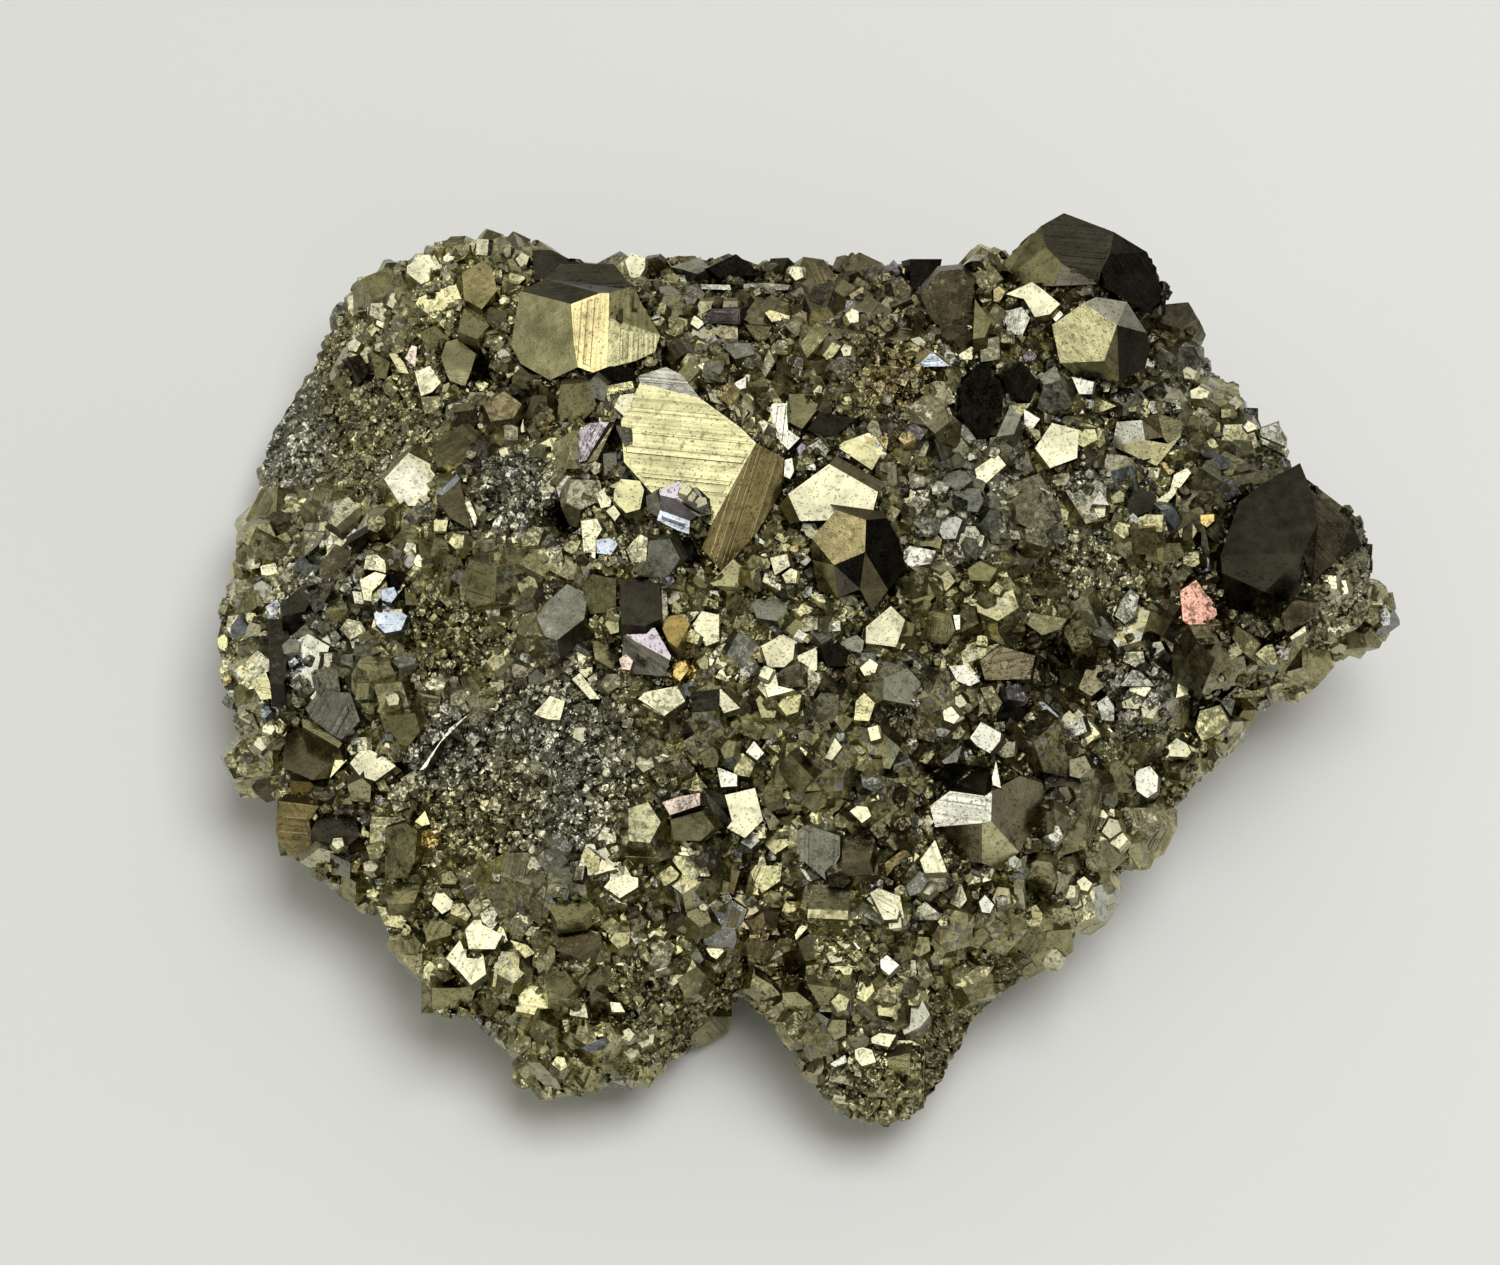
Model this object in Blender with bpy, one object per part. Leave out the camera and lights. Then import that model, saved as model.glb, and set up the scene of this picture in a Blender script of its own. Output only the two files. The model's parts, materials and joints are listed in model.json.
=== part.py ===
"""Pyrite specimen: a hand-sized plate of massive pyrite overgrown with pyritohedral crystals.

Run it with blender --background --python part.py, or from Blender's text editor.
It is one natural piece, so it is one object. Metres, +Z up. The specimen lies on its broken
underside at z = 0, with its crystals up and its front, the notched edge, towards -Y.
"""

import math
import random
from collections import namedtuple

import bmesh
import bpy
from mathutils import Matrix, Vector, noise
from mathutils.bvhtree import BVHTree

MM = 0.001

# The sight lines: where a feature of the reference picture lies on the specimen
EYE_ELEVATION = math.radians(60)
EYE_DISTANCE = 300 * MM
SIGHT_CENTRE = Vector((0, 0, 12 * MM))
MM_PER_PIXEL = 0.085
PICTURE_CENTRE = (750, 632.5)
TO_EYE = Vector((0, -math.cos(EYE_ELEVATION), math.sin(EYE_ELEVATION)))
PICTURE_RIGHT = Vector((1, 0, 0))
PICTURE_UP = Vector((0, math.sin(EYE_ELEVATION), math.cos(EYE_ELEVATION)))
EYE = SIGHT_CENTRE + TO_EYE * EYE_DISTANCE

# The massive body under the crystals: a square grid drawn out into the outline of the rim.
# The dome's fall is the power of the way out from the centre, and the grid's that of its rings.
BODY_CELLS = 16
BODY_CENTRE = (790, 650)
CROWN_HEIGHT = 24 * MM
DOME_FALL = 2.4
RING_SPREAD = 0.9
EDGE_QUIET = 3
LUMP_SIZE = 9 * MM
LUMP_HEIGHT = 1.8 * MM
WALL_STEPS = 3
UNDERCUT = 0.3

# The rim of the body, evenly along its outline: pixel of the picture, height above table in mm
Rim = namedtuple("Rim", "u v z")
RIM = [
    Rim(1366, 634, 13), Rim(1372, 600, 14), Rim(1366, 562, 15), Rim(1330, 512, 17),
    Rim(1286, 468, 17), Rim(1258, 430, 17), Rim(1226, 392, 17), Rim(1192, 350, 18),
    Rim(1168, 310, 18), Rim(1138, 266, 20), Rim(1090, 224, 21), Rim(1050, 232, 21),
    Rim(1010, 274, 20), Rim(965, 277, 20), Rim(915, 268, 19), Rim(860, 268, 18),
    Rim(805, 268, 18), Rim(755, 266, 18), Rim(705, 260, 18), Rim(655, 260, 18),
    Rim(605, 264, 19), Rim(555, 260, 18), Rim(505, 242, 17), Rim(450, 243, 16),
    Rim(405, 262, 14), Rim(360, 288, 11), Rim(338, 318, 8), Rim(318, 362, 6),
    Rim(290, 404, 5), Rim(266, 450, 4), Rim(258, 502, 5), Rim(246, 552, 8),
    Rim(228, 604, 10), Rim(218, 648, 10), Rim(232, 700, 10), Rim(248, 748, 9),
    Rim(276, 792, 9), Rim(292, 846, 9), Rim(335, 878, 9), Rim(375, 912, 9),
    Rim(425, 948, 9), Rim(446, 1000, 9), Rim(495, 1028, 8), Rim(538, 1070, 7),
    Rim(585, 1086, 7), Rim(640, 1076, 7), Rim(676, 1046, 8), Rim(694, 1004, 10),
    Rim(740, 984, 10), Rim(784, 1018, 9), Rim(812, 1066, 8), Rim(848, 1114, 7),
    Rim(890, 1124, 6), Rim(924, 1108, 6), Rim(950, 1064, 6), Rim(970, 1022, 7),
    Rim(1006, 990, 8), Rim(1050, 955, 9), Rim(1084, 915, 10), Rim(1108, 868, 10),
    Rim(1160, 815, 11), Rim(1208, 765, 12), Rim(1224, 708, 12), Rim(1280, 662, 13),
]

# Swellings and hollows of the body: pixel, radius and height in mm
SWELL_LEVEL = 19 * MM
Swell = namedtuple("Swell", "u v radius height")
SWELLS = [
    Swell(665, 505, 9, 3.0), Swell(575, 330, 8, 2.5), Swell(890, 395, 10, 3.0),
    Swell(1090, 290, 11, 4.0), Swell(1285, 540, 10, 4.5), Swell(1060, 670, 7, -5.0),
    Swell(520, 760, 12, -2.0), Swell(600, 1000, 8, 2.0), Swell(890, 1030, 8, 2.0),
    Swell(745, 930, 8, -3.0), Swell(330, 650, 9, 2.0), Swell(960, 780, 10, 2.0),
    Swell(440, 320, 8, 2.5), Swell(740, 320, 8, -2.5), Swell(650, 660, 9, 2.5),
    Swell(800, 670, 8, 2.0), Swell(835, 520, 8, 2.0), Swell(1335, 605, 6, 2.0),
    Swell(470, 500, 9, 1.5), Swell(300, 400, 7, -3.0),
]

# The vug, an open cavity left of the large crystals: pixel, half width, half height and depth
VUG = (563, 518)
VUG_HALF_WIDTH = 1.9 * MM
VUG_HALF_HEIGHT = 3.2 * MM
VUG_DEPTH = 10 * MM
VUG_SIDES = 7
VUG_TAPER = (0.4, 1.3)

# Crystals set by eye, each with its main face's centre (pixel), that face's width in mm, how far
# the face leans right and up from facing the eye (degrees), the bearing of the face's apex
# (degrees clockwise from up) and its habit: p pyritohedron, c striated cube, t pyritohedron whose
# long edges are cut flat, the main face being such a cut
Crystal = namedtuple("Crystal", "u v width right up turn habit")
CRYSTALS = [
    # The three large crystals left of the middle
    Crystal(685, 442, 11.5, -5, 15, 88, "p"),
    Crystal(591, 332, 9.4, -5, 13, 2, "t"),
    Crystal(832, 493, 7.2, -5, 15, -4, "p"),
    Crystal(845, 538, 5.6, -16, 6, 186, "p"),
    Crystal(885, 408, 9.0, 4, 22, 30, "p"),
    # The back right corner
    Crystal(1083, 343, 6.2, -6, -8, 2, "p"),
    Crystal(1066, 256, 8.6, -8, 42, -60, "p"),
    Crystal(1138, 275, 5.8, 30, 34, 40, "p"),
    Crystal(1182, 325, 5.4, 26, 30, 70, "p"),
    Crystal(1218, 372, 3.4, 20, 30, 0, "p"),
    Crystal(1150, 437, 5.8, 0, -6, 178, "p"),
    Crystal(1056, 445, 4.4, -5, 15, -80, "p"),
    Crystal(1030, 300, 3.8, -8, 12, 40, "p"),
    Crystal(1008, 372, 3.6, 24, 28, 20, "p"),
    Crystal(1034, 386, 3.2, 30, 36, 50, "p"),
    Crystal(932, 362, 2.8, 0, 34, 0, "p"),
    Crystal(915, 288, 6.8, 6, 38, 20, "p"),
    Crystal(958, 318, 4.0, 28, 20, 60, "p"),
    Crystal(958, 488, 3.4, 12, 26, 10, "p"),
    Crystal(862, 452, 4.0, -7, 12, 160, "p"),
    Crystal(803, 412, 3.0, -12, 2, 20, "p"),
    Crystal(782, 428, 2.8, -5, 15, 10, "c"),
    # The right end: a large dark crystal and the lump below it
    Crystal(1286, 512, 11.0, 14, 33, 15, "p"),
    Crystal(1322, 552, 6.0, 38, 20, 80, "p"),
    Crystal(1262, 588, 5.6, -4, 44, 190, "p"),
    Crystal(1338, 604, 5.0, 20, -18, 120, "p"),
    Crystal(1276, 434, 3.2, -6, 12, 30, "c"),
    Crystal(1240, 384, 3.2, 10, 10, 0, "p"),
    Crystal(1302, 462, 3.0, -8, 30, 20, "p"),
    Crystal(1197, 606, 3.9, -8, 10, 170, "p"),
    Crystal(1222, 640, 4.4, 10, 34, 200, "p"),
    Crystal(1185, 560, 3.4, 14, 24, 40, "p"),
    # Right of the middle, down to the right edge
    Crystal(1214, 724, 3.6, -10, 2, 20, "p"),
    Crystal(1180, 758, 2.8, -6, 10, 60, "p"),
    Crystal(1140, 690, 5.0, -12, 8, 70, "p"),
    Crystal(1075, 733, 2.8, -8, 12, 50, "c"),
    Crystal(1068, 792, 5.0, 10, 30, 10, "p"),
    Crystal(1020, 797, 5.2, 18, 36, 190, "p"),
    Crystal(962, 803, 5.8, -5, 15, 118, "p"),
    Crystal(998, 846, 4.0, -10, 0, 84, "p"),
    Crystal(948, 842, 3.6, 8, -12, 0, "c"),
    Crystal(1040, 880, 3.4, -10, 4, 0, "p"),
    Crystal(1094, 900, 3.4, -16, 6, 60, "p"),
    Crystal(1150, 835, 3.6, -14, 2, 30, "p"),
    Crystal(985, 660, 4.6, 6, 24, 80, "p"),
    Crystal(938, 625, 3.4, -14, 0, 20, "p"),
    Crystal(888, 627, 3.9, -5, 15, 20, "p"),
    Crystal(1046, 616, 3.6, 12, -8, 140, "p"),
    Crystal(1078, 618, 3.6, -14, -10, 40, "p"),
    Crystal(985, 738, 2.8, -5, 15, 100, "p"),
    Crystal(1000, 700, 3.0, 10, -10, 60, "c"),
    Crystal(1015, 515, 4.0, -10, 10, 20, "c"),
    Crystal(1090, 500, 3.8, 8, 22, 60, "p"),
    Crystal(1130, 500, 3.6, 16, 20, 10, "p"),
    # The crystals clustered in the middle
    Crystal(618, 388, 3.0, 6, 34, 20, "c"),
    Crystal(592, 440, 4.0, 4, 14, 30, "p"),
    Crystal(570, 455, 3.4, -26, 0, 0, "p"),
    Crystal(629, 495, 2.8, -5, 14, 0, "p"),
    Crystal(684, 510, 3.9, -8, 10, 200, "p"),
    Crystal(668, 562, 3.8, 12, 30, 30, "p"),
    Crystal(640, 602, 4.0, 6, 30, 0, "c"),
    Crystal(643, 660, 4.6, -8, 12, 30, "p"),
    Crystal(682, 642, 2.8, 20, 2, 60, "p"),
    Crystal(662, 696, 3.4, -8, 10, 180, "p"),
    Crystal(779, 651, 2.9, -5, 14, 0, "p"),
    Crystal(836, 658, 2.9, 14, 30, 0, "p"),
    Crystal(776, 684, 3.0, -5, 14, 200, "p"),
    Crystal(793, 712, 3.4, -4, -14, 180, "p"),
    Crystal(836, 692, 2.8, 20, 26, 90, "p"),
    Crystal(743, 815, 3.8, -5, 15, 170, "p"),
    Crystal(708, 812, 3.2, 24, 30, 0, "p"),
    Crystal(686, 800, 4.0, -12, -6, 90, "p"),
    Crystal(817, 850, 4.2, -12, 2, 6, "c"),
    Crystal(858, 843, 3.4, 12, 26, 40, "p"),
    # The lower middle and the notch
    Crystal(885, 907, 3.0, -5, 15, 50, "p"),
    Crystal(931, 858, 3.0, -5, 15, 20, "p"),
    Crystal(772, 878, 3.4, -6, 12, 100, "c"),
    Crystal(778, 918, 3.0, 16, 30, 20, "p"),
    Crystal(768, 976, 3.0, -8, 4, 100, "p"),
    Crystal(799, 1003, 3.2, -8, 4, 40, "p"),
    Crystal(833, 990, 3.2, -14, -4, 0, "c"),
    Crystal(800, 1052, 3.6, -14, -12, 60, "p"),
    Crystal(898, 1068, 3.8, -4, 2, 0, "c"),
    Crystal(972, 982, 3.6, 12, -4, 60, "p"),
    # The lower left lobe
    Crystal(482, 937, 3.6, -5, 14, 100, "p"),
    Crystal(468, 962, 3.4, -5, 14, 200, "p"),
    Crystal(448, 988, 4.2, -18, 2, 0, "c"),
    Crystal(512, 966, 3.0, 6, 28, 30, "p"),
    Crystal(565, 905, 4.0, -12, 0, 180, "p"),
    Crystal(576, 940, 4.2, 10, 26, 190, "p"),
    Crystal(560, 986, 2.8, -12, 0, 0, "p"),
    Crystal(597, 1033, 3.4, -10, 4, 30, "p"),
    Crystal(534, 1045, 4.0, -20, -4, 40, "p"),
    Crystal(548, 1078, 3.6, -14, -16, 130, "p"),
    Crystal(621, 886, 3.0, -5, 15, 90, "p"),
    Crystal(596, 862, 2.8, -6, 12, 30, "p"),
    Crystal(400, 895, 3.6, -14, 8, 90, "p"),
    # The left end
    Crystal(310, 757, 4.6, -20, 4, 20, "p"),
    Crystal(368, 768, 3.8, -6, 13, 60, "p"),
    Crystal(352, 790, 3.0, -12, -6, 150, "p"),
    Crystal(336, 714, 4.4, -12, 8, 40, "c"),
    Crystal(404, 735, 3.6, 6, 22, 20, "p"),
    Crystal(308, 822, 4.8, -20, 6, 0, "c"),
    Crystal(345, 838, 3.4, 10, 30, 30, "p"),
    Crystal(394, 846, 3.8, -10, 6, 0, "c"),
    Crystal(390, 622, 2.8, -8, 12, 180, "p"),
    Crystal(332, 602, 4.2, 8, 20, 0, "p"),
    Crystal(300, 662, 5.2, -8, 14, 0, "p"),
    Crystal(238, 628, 2.8, -12, 8, 20, "p"),
    # The back left corner
    Crystal(426, 268, 2.8, -6, 14, 30, "p"),
    Crystal(500, 252, 3.4, 8, 34, 0, "p"),
    Crystal(484, 288, 3.6, -8, 8, 20, "p"),
    Crystal(438, 300, 4.2, -8, 6, 40, "p"),
    Crystal(472, 322, 3.0, -12, 2, 30, "p"),
    Crystal(457, 356, 3.4, -10, 0, 0, "p"),
    Crystal(368, 366, 3.8, 10, 22, 30, "p"),
    Crystal(520, 408, 4.0, 6, 34, 50, "p"),
    Crystal(452, 502, 3.4, -12, -2, 30, "p"),
    # The back edge, mostly dark
    Crystal(692, 270, 3.4, 10, 36, 20, "p"),
    Crystal(736, 270, 4.0, 6, 40, 0, "p"),
    Crystal(815, 274, 4.2, 12, 38, 30, "p"),
    Crystal(862, 272, 3.8, -8, 34, 60, "p"),
    Crystal(717, 320, 3.8, 0, 20, 0, "c"),
    Crystal(678, 312, 3.6, 20, 30, 30, "p"),
    Crystal(766, 312, 3.8, 10, 36, 20, "c"),
    Crystal(780, 346, 3.0, -10, 6, 50, "c"),
    Crystal(735, 365, 3.4, -10, 6, 10, "c"),
    Crystal(820, 340, 4.0, 14, 26, 30, "p"),
]
RISE = 0.42

# Places where no crystal is over grain size, or the rock lies broken: pixel and radius in mm
Bare = namedtuple("Bare", "u v radius")
BARE = [
    Bare(300, 370, 5.5), Bare(280, 440, 4.5), Bare(970, 1030, 3.0), Bare(1300, 600, 5.0),
    Bare(1300, 500, 5.5), Bare(395, 445, 4.5), Bare(515, 495, 3.0), Bare(560, 770, 6.5),
    Bare(475, 790, 5.5), Bare(450, 640, 3.5), Bare(900, 370, 3.0), Bare(1085, 575, 3.0),
    Bare(1140, 700, 3.0), Bare(640, 1010, 4.0), Bare(700, 1030, 4.0), Bare(740, 985, 3.5),
    Bare(880, 1100, 3.0), Bare(1060, 670, 3.5),
]

# Crystals that fill in where none is set by eye: how many, spots tried for each, width in mm,
# how far the centre sinks, the steepest overhang they grow on (z of the face's normal), and how
# high above the table the lowest centres keep, in units of the crystal
FILL_COUNT = 80
FILL_TRIES = 40
FILL_WIDTH = (2.8, 4.6)
FILL_SINK = 0.3
LOWEST_GROWTH = -0.2
LOWEST_CENTRE = 1.6
FILL_SEED = 11

# The crystals' planes and their distances from the centre, in units of half the main face's width
BLANK_SIZE = 5
FACE_RADIUS = 3 / math.sqrt(5)
CUBE_RADIUS = 1.15
CUBE_BEVEL_RADIUS = 1.37
CUT_RADIUS = 1.28
GROWTH_SPREAD = 0.11
PYRITOHEDRON = [
    Vector(n).normalized()
    for a in (1, -1)
    for b in (1, -1)
    for n in ((2 * a, 0, b), (b, 2 * a, 0), (0, b, 2 * a))
]
CUBE = [Vector(n) for a in (1, -1) for n in ((a, 0, 0), (0, a, 0), (0, 0, a))]

# Each habit's main face, the direction of its apex, and its distance from the centre
MAIN_FACES = {
    "p": (PYRITOHEDRON[0], Vector((-1, 0, 2)).normalized(), FACE_RADIUS),
    "c": (CUBE[0], Vector((0, 0, 1)), CUBE_RADIUS),
    "t": (CUBE[0], Vector((0, 1, 0)), CUT_RADIUS),
}

PYRITE_GOLD = (0.56, 0.49, 0.30, 1)
ROUGHNESS = 0.25
DISSOLVE_ANGLE = math.radians(0.4)
WELD = 0.004 * MM


def on_picture(u, v):
    """The point of the picture plane that shows pixel (u, v)."""
    right = (u - PICTURE_CENTRE[0]) * MM_PER_PIXEL * MM
    up = (PICTURE_CENTRE[1] - v) * MM_PER_PIXEL * MM
    return SIGHT_CENTRE + PICTURE_RIGHT * right + PICTURE_UP * up


def at_height(u, v, z):
    """Where the sight line of pixel (u, v) meets height z above the table."""
    ray = on_picture(u, v) - EYE
    return EYE + ray * ((z - EYE.z) / ray.z)


def sight(solids, u, v):
    """Where the sight line of pixel (u, v) first meets any of the solids."""
    ray = (on_picture(u, v) - EYE).normalized()
    hits = [solid.ray_cast(EYE, ray) for solid in solids]
    hits = [(distance, point) for point, _, _, distance in hits if point is not None]
    if hits:
        return min(hits)[1]
    return solids[0].find_nearest(at_height(u, v, CROWN_HEIGHT / 2))[0]


def swelling(point, swells):
    """Height that the swellings and hollows add at a point of the body's top."""
    total = 0.0
    for place, radius, height in swells:
        away = math.hypot(point.x - place.x, point.y - place.y) / radius
        total += height * math.exp(-away * away)
    return total


def rim_point(share):
    """The point of the rim a given share of the way round it, between its two nearest points."""
    place = share % 1 * len(RIM)
    before = RIM[int(place) % len(RIM)]
    after = RIM[(int(place) + 1) % len(RIM)]
    ends = [at_height(spot.u, spot.v, spot.z * MM) for spot in (before, after)]
    return ends[0].lerp(ends[1], place % 1)


def share_round(x, y):
    """How far round the rim a point of the square grid lies, from the middle of its right side."""
    outer = max(abs(x), abs(y))
    if outer == 0:
        return 0
    if x == outer and y != -outer:
        return y / outer / 8
    if y == outer:
        return 2 / 8 - x / outer / 8
    if x == -outer:
        return 4 / 8 - y / outer / 8
    return 6 / 8 + x / outer / 8


def make_body():
    """The massive body: a lumpy top, walls that draw in below the rim, and a flat underside."""
    centre = at_height(*BODY_CENTRE, CROWN_HEIGHT / 2)
    centre.z = 0
    swells = [(at_height(s.u, s.v, SWELL_LEVEL), s.radius * MM, s.height * MM) for s in SWELLS]
    bm = bmesh.new()
    bmesh.ops.create_grid(bm, x_segments=BODY_CELLS, y_segments=BODY_CELLS, size=1)
    for vert in bm.verts:
        outer = max(abs(vert.co.x), abs(vert.co.y))
        edge = rim_point(share_round(vert.co.x, vert.co.y))
        place = centre.lerp(edge, outer ** RING_SPREAD)
        place.z = edge.z + (CROWN_HEIGHT - edge.z) * (1 - outer ** DOME_FALL)
        relief = swelling(place, swells) + LUMP_HEIGHT * noise.noise(place / LUMP_SIZE)
        place.z += relief * min(1, EDGE_QUIET * (1 - outer))
        vert.co = place
    rim = [edge for edge in bm.edges if edge.is_boundary]
    for step in range(1, WALL_STEPS + 1):
        grown = bmesh.ops.extrude_edge_only(bm, edges=rim)["geom"]
        rim = [item for item in grown if isinstance(item, bmesh.types.BMEdge)]
        rim = [edge for edge in rim if edge.is_boundary]
        for vert in {vert for edge in rim for vert in edge.verts}:
            outward = (vert.co - centre).xy
            ragged = 1 + noise.noise(vert.co / LUMP_SIZE)
            draw = UNDERCUT * ragged * step / WALL_STEPS ** 2
            below = vert.co.z * (WALL_STEPS - step) / (WALL_STEPS - step + 1)
            vert.co = (*(centre.xy + outward * (1 - draw)), below)
    bmesh.ops.contextual_create(bm, geom=rim)
    bmesh.ops.recalc_face_normals(bm, faces=bm.faces)
    return bm


def turned_to(right, up, turn, face, apex):
    """The rotation that sets a crystal's face and its apex direction as the picture shows them."""
    normal = TO_EYE + PICTURE_RIGHT * math.tan(math.radians(right))
    normal = (normal + PICTURE_UP * math.tan(math.radians(up))).normalized()
    angle = math.radians(turn)
    pointing = PICTURE_UP * math.cos(angle) + PICTURE_RIGHT * math.sin(angle)
    pointing = (pointing - normal * pointing.dot(normal)).normalized()
    world = Matrix((normal, pointing, normal.cross(pointing))).transposed()
    own = Matrix((face, apex, face.cross(apex)))
    return normal, (world @ own).to_4x4()


def cut_crystal(unit, habit, rng):
    """A crystal cut plane by plane from a cube, with its main face at its exact distance."""
    planes = {
        "p": [(normal, FACE_RADIUS) for normal in PYRITOHEDRON],
        "c": [(normal, CUBE_RADIUS) for normal in CUBE]
        + [(normal, CUBE_BEVEL_RADIUS) for normal in PYRITOHEDRON[:4]],
        "t": [(normal, CUT_RADIUS) for normal in CUBE]
        + [(normal, FACE_RADIUS) for normal in PYRITOHEDRON],
    }[habit]
    bm = bmesh.new()
    bmesh.ops.create_cube(bm, size=BLANK_SIZE * unit)
    for normal, radius in planes:
        main = normal == planes[0][0]
        spread = 0 if main else rng.uniform(-GROWTH_SPREAD, GROWTH_SPREAD)
        cut = bmesh.ops.bisect_plane(
            bm,
            geom=bm.verts[:] + bm.edges[:] + bm.faces[:],
            dist=1e-9,
            plane_co=normal * unit * radius * (1 + spread),
            plane_no=normal,
            clear_outer=True,
        )
        rim = [item for item in cut["geom_cut"] if isinstance(item, bmesh.types.BMEdge)]
        if rim:
            bmesh.ops.contextual_create(bm, geom=rim)
    bmesh.ops.recalc_face_normals(bm, faces=bm.faces)
    return bm


def grow(crystal, solids, rng, collection):
    """Sets one crystal with its main face on its sight line."""
    unit = crystal.width / 2 * MM
    face, apex, reach = MAIN_FACES[crystal.habit]
    normal, rotation = turned_to(crystal.right, crystal.up, crystal.turn, face, apex)
    seat = sight(solids, crystal.u, crystal.v)
    towards_eye = (EYE - seat).normalized()
    centre = seat + towards_eye * crystal.width * RISE * MM - normal * unit * reach
    bm = cut_crystal(unit, crystal.habit, rng)
    bmesh.ops.transform(bm, matrix=Matrix.Translation(centre) @ rotation, verts=bm.verts)
    solids.append(BVHTree.FromBMesh(bm))
    add_object("crystal", bm, collection).hide_render = True
    return centre, unit


def spot_on(faces, areas, rng):
    """A random face and a random point of it."""
    face = rng.choices(faces, areas)[0]
    shares = [rng.random() for _ in face.verts]
    spot = sum((v.co * s for v, s in zip(face.verts, shares)), Vector()) / sum(shares)
    return face, spot


def fill_in(body_mesh, taken, collection):
    """Seeds further crystals over the crystallised faces, each where the most room is left."""
    rng = random.Random(FILL_SEED)
    faces = [f for f in body_mesh.faces if f.normal.z > LOWEST_GROWTH]
    areas = [f.calc_area() for f in faces]
    for _ in range(FILL_COUNT):
        spots = [spot_on(faces, areas, rng) for _ in range(FILL_TRIES)]
        rooms = [min((spot - c).length - radius for c, radius in taken) for _, spot in spots]
        face, spot = spots[rooms.index(max(rooms))]
        unit = rng.uniform(*FILL_WIDTH) / 2 * MM
        bm = cut_crystal(unit, "p", rng)
        spin = Vector((rng.gauss(0, 1), rng.gauss(0, 1), rng.gauss(0, 1))).normalized()
        rotation = Matrix.Rotation(rng.uniform(0, math.tau), 4, spin)
        centre = spot - face.normal * unit * FILL_SINK
        centre.z = max(centre.z, unit * LOWEST_CENTRE)
        bmesh.ops.transform(bm, matrix=Matrix.Translation(centre) @ rotation, verts=bm.verts)
        add_object("crystal", bm, collection).hide_render = True
        taken.append((spot, unit))


def make_vug_cutter(seat, collection):
    """A tapering seven-sided hole, cut along the sight line."""
    bm = bmesh.new()
    floor, mouth = VUG_TAPER
    bmesh.ops.create_cone(
        bm, cap_ends=True, segments=VUG_SIDES, radius1=floor, radius2=mouth, depth=2
    )
    bmesh.ops.scale(bm, vec=(VUG_HALF_WIDTH, VUG_HALF_HEIGHT, VUG_DEPTH), verts=bm.verts)
    along = Matrix((PICTURE_RIGHT, PICTURE_UP, TO_EYE)).transposed().to_4x4()
    bmesh.ops.transform(bm, matrix=Matrix.Translation(seat) @ along, verts=bm.verts)
    cutter = add_object("vug_cutter", bm, collection)
    cutter.hide_render = True
    return cutter


def add_object(name, bm, collection):
    mesh = bpy.data.meshes.new(name)
    bm.to_mesh(mesh)
    bm.free()
    obj = bpy.data.objects.new(name, mesh)
    obj.display_type = "WIRE" if name != "pyrite_cluster" else "TEXTURED"
    collection.objects.link(obj)
    return obj


def outer_shell(bm):
    """Deletes all but the largest shell, so that no cavity closed in between crystals is left."""
    left = set(bm.faces)
    shells = []
    while left:
        shell = [left.pop()]
        for face in shell:
            beside = {other for edge in face.edges for other in edge.link_faces} & left
            shell.extend(sorted(beside, key=lambda other: other.index))
            left -= beside
        shells.append(shell)
    shells.sort(key=len)
    spare = [face for shell in shells[:-1] for face in shell]
    bmesh.ops.delete(bm, geom=spare, context="FACES")


def grown_together(body, crystals, cutter):
    """One solid of the body and all its crystals, less the vug."""
    union = body.modifiers.new("crystals", "BOOLEAN")
    union.operation = "UNION"
    union.operand_type = "COLLECTION"
    union.collection = crystals
    hole = body.modifiers.new("vug", "BOOLEAN")
    hole.operation = "DIFFERENCE"
    hole.object = cutter
    bpy.context.view_layer.update()
    graph = bpy.context.evaluated_depsgraph_get()
    mesh = bpy.data.meshes.new_from_object(body.evaluated_get(graph))
    body.modifiers.clear()
    bm = bmesh.new()
    bm.from_mesh(mesh)
    bpy.data.meshes.remove(mesh)
    bmesh.ops.remove_doubles(bm, verts=bm.verts, dist=WELD)
    outer_shell(bm)
    bmesh.ops.dissolve_limit(bm, angle_limit=DISSOLVE_ANGLE, verts=bm.verts, edges=bm.edges)
    bmesh.ops.triangulate(bm, faces=bm.faces)
    bm.to_mesh(body.data)
    bm.free()


def pyrite():
    material = bpy.data.materials.new("pyrite")
    material.use_nodes = True
    surface = material.node_tree.nodes["Principled BSDF"]
    surface.inputs["Base Color"].default_value = PYRITE_GOLD
    surface.inputs["Metallic"].default_value = 1
    surface.inputs["Roughness"].default_value = ROUGHNESS
    return material


def new_collection(name):
    collection = bpy.data.collections.new(name)
    bpy.context.scene.collection.children.link(collection)
    return collection


def main():
    for obj in list(bpy.data.objects):
        bpy.data.objects.remove(obj)
    specimen = new_collection("Pyrite specimen")
    crystals = new_collection("Crystals to join")
    cutters = new_collection("Cutters")

    body_mesh = make_body()
    solids = [BVHTree.FromBMesh(body_mesh)]
    vug = sight(solids, *VUG)
    taken = [(sight(solids, spot.u, spot.v), spot.radius * MM) for spot in BARE]
    taken.append((vug, VUG_HALF_HEIGHT))
    large_first = sorted(enumerate(CRYSTALS), key=lambda row: -row[1].width)
    for number, crystal in large_first:
        taken.append(grow(crystal, solids, random.Random(number), crystals))
    fill_in(body_mesh, taken, crystals)
    cutter = make_vug_cutter(vug, cutters)

    cluster = add_object("pyrite_cluster", body_mesh, specimen)
    cluster.data.materials.append(pyrite())
    grown_together(cluster, crystals, cutter)


main()
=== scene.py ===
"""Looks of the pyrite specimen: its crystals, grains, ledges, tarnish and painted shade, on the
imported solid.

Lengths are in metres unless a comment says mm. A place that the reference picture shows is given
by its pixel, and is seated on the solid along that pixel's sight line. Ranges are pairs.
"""

import json
import math
from collections import namedtuple

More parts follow.
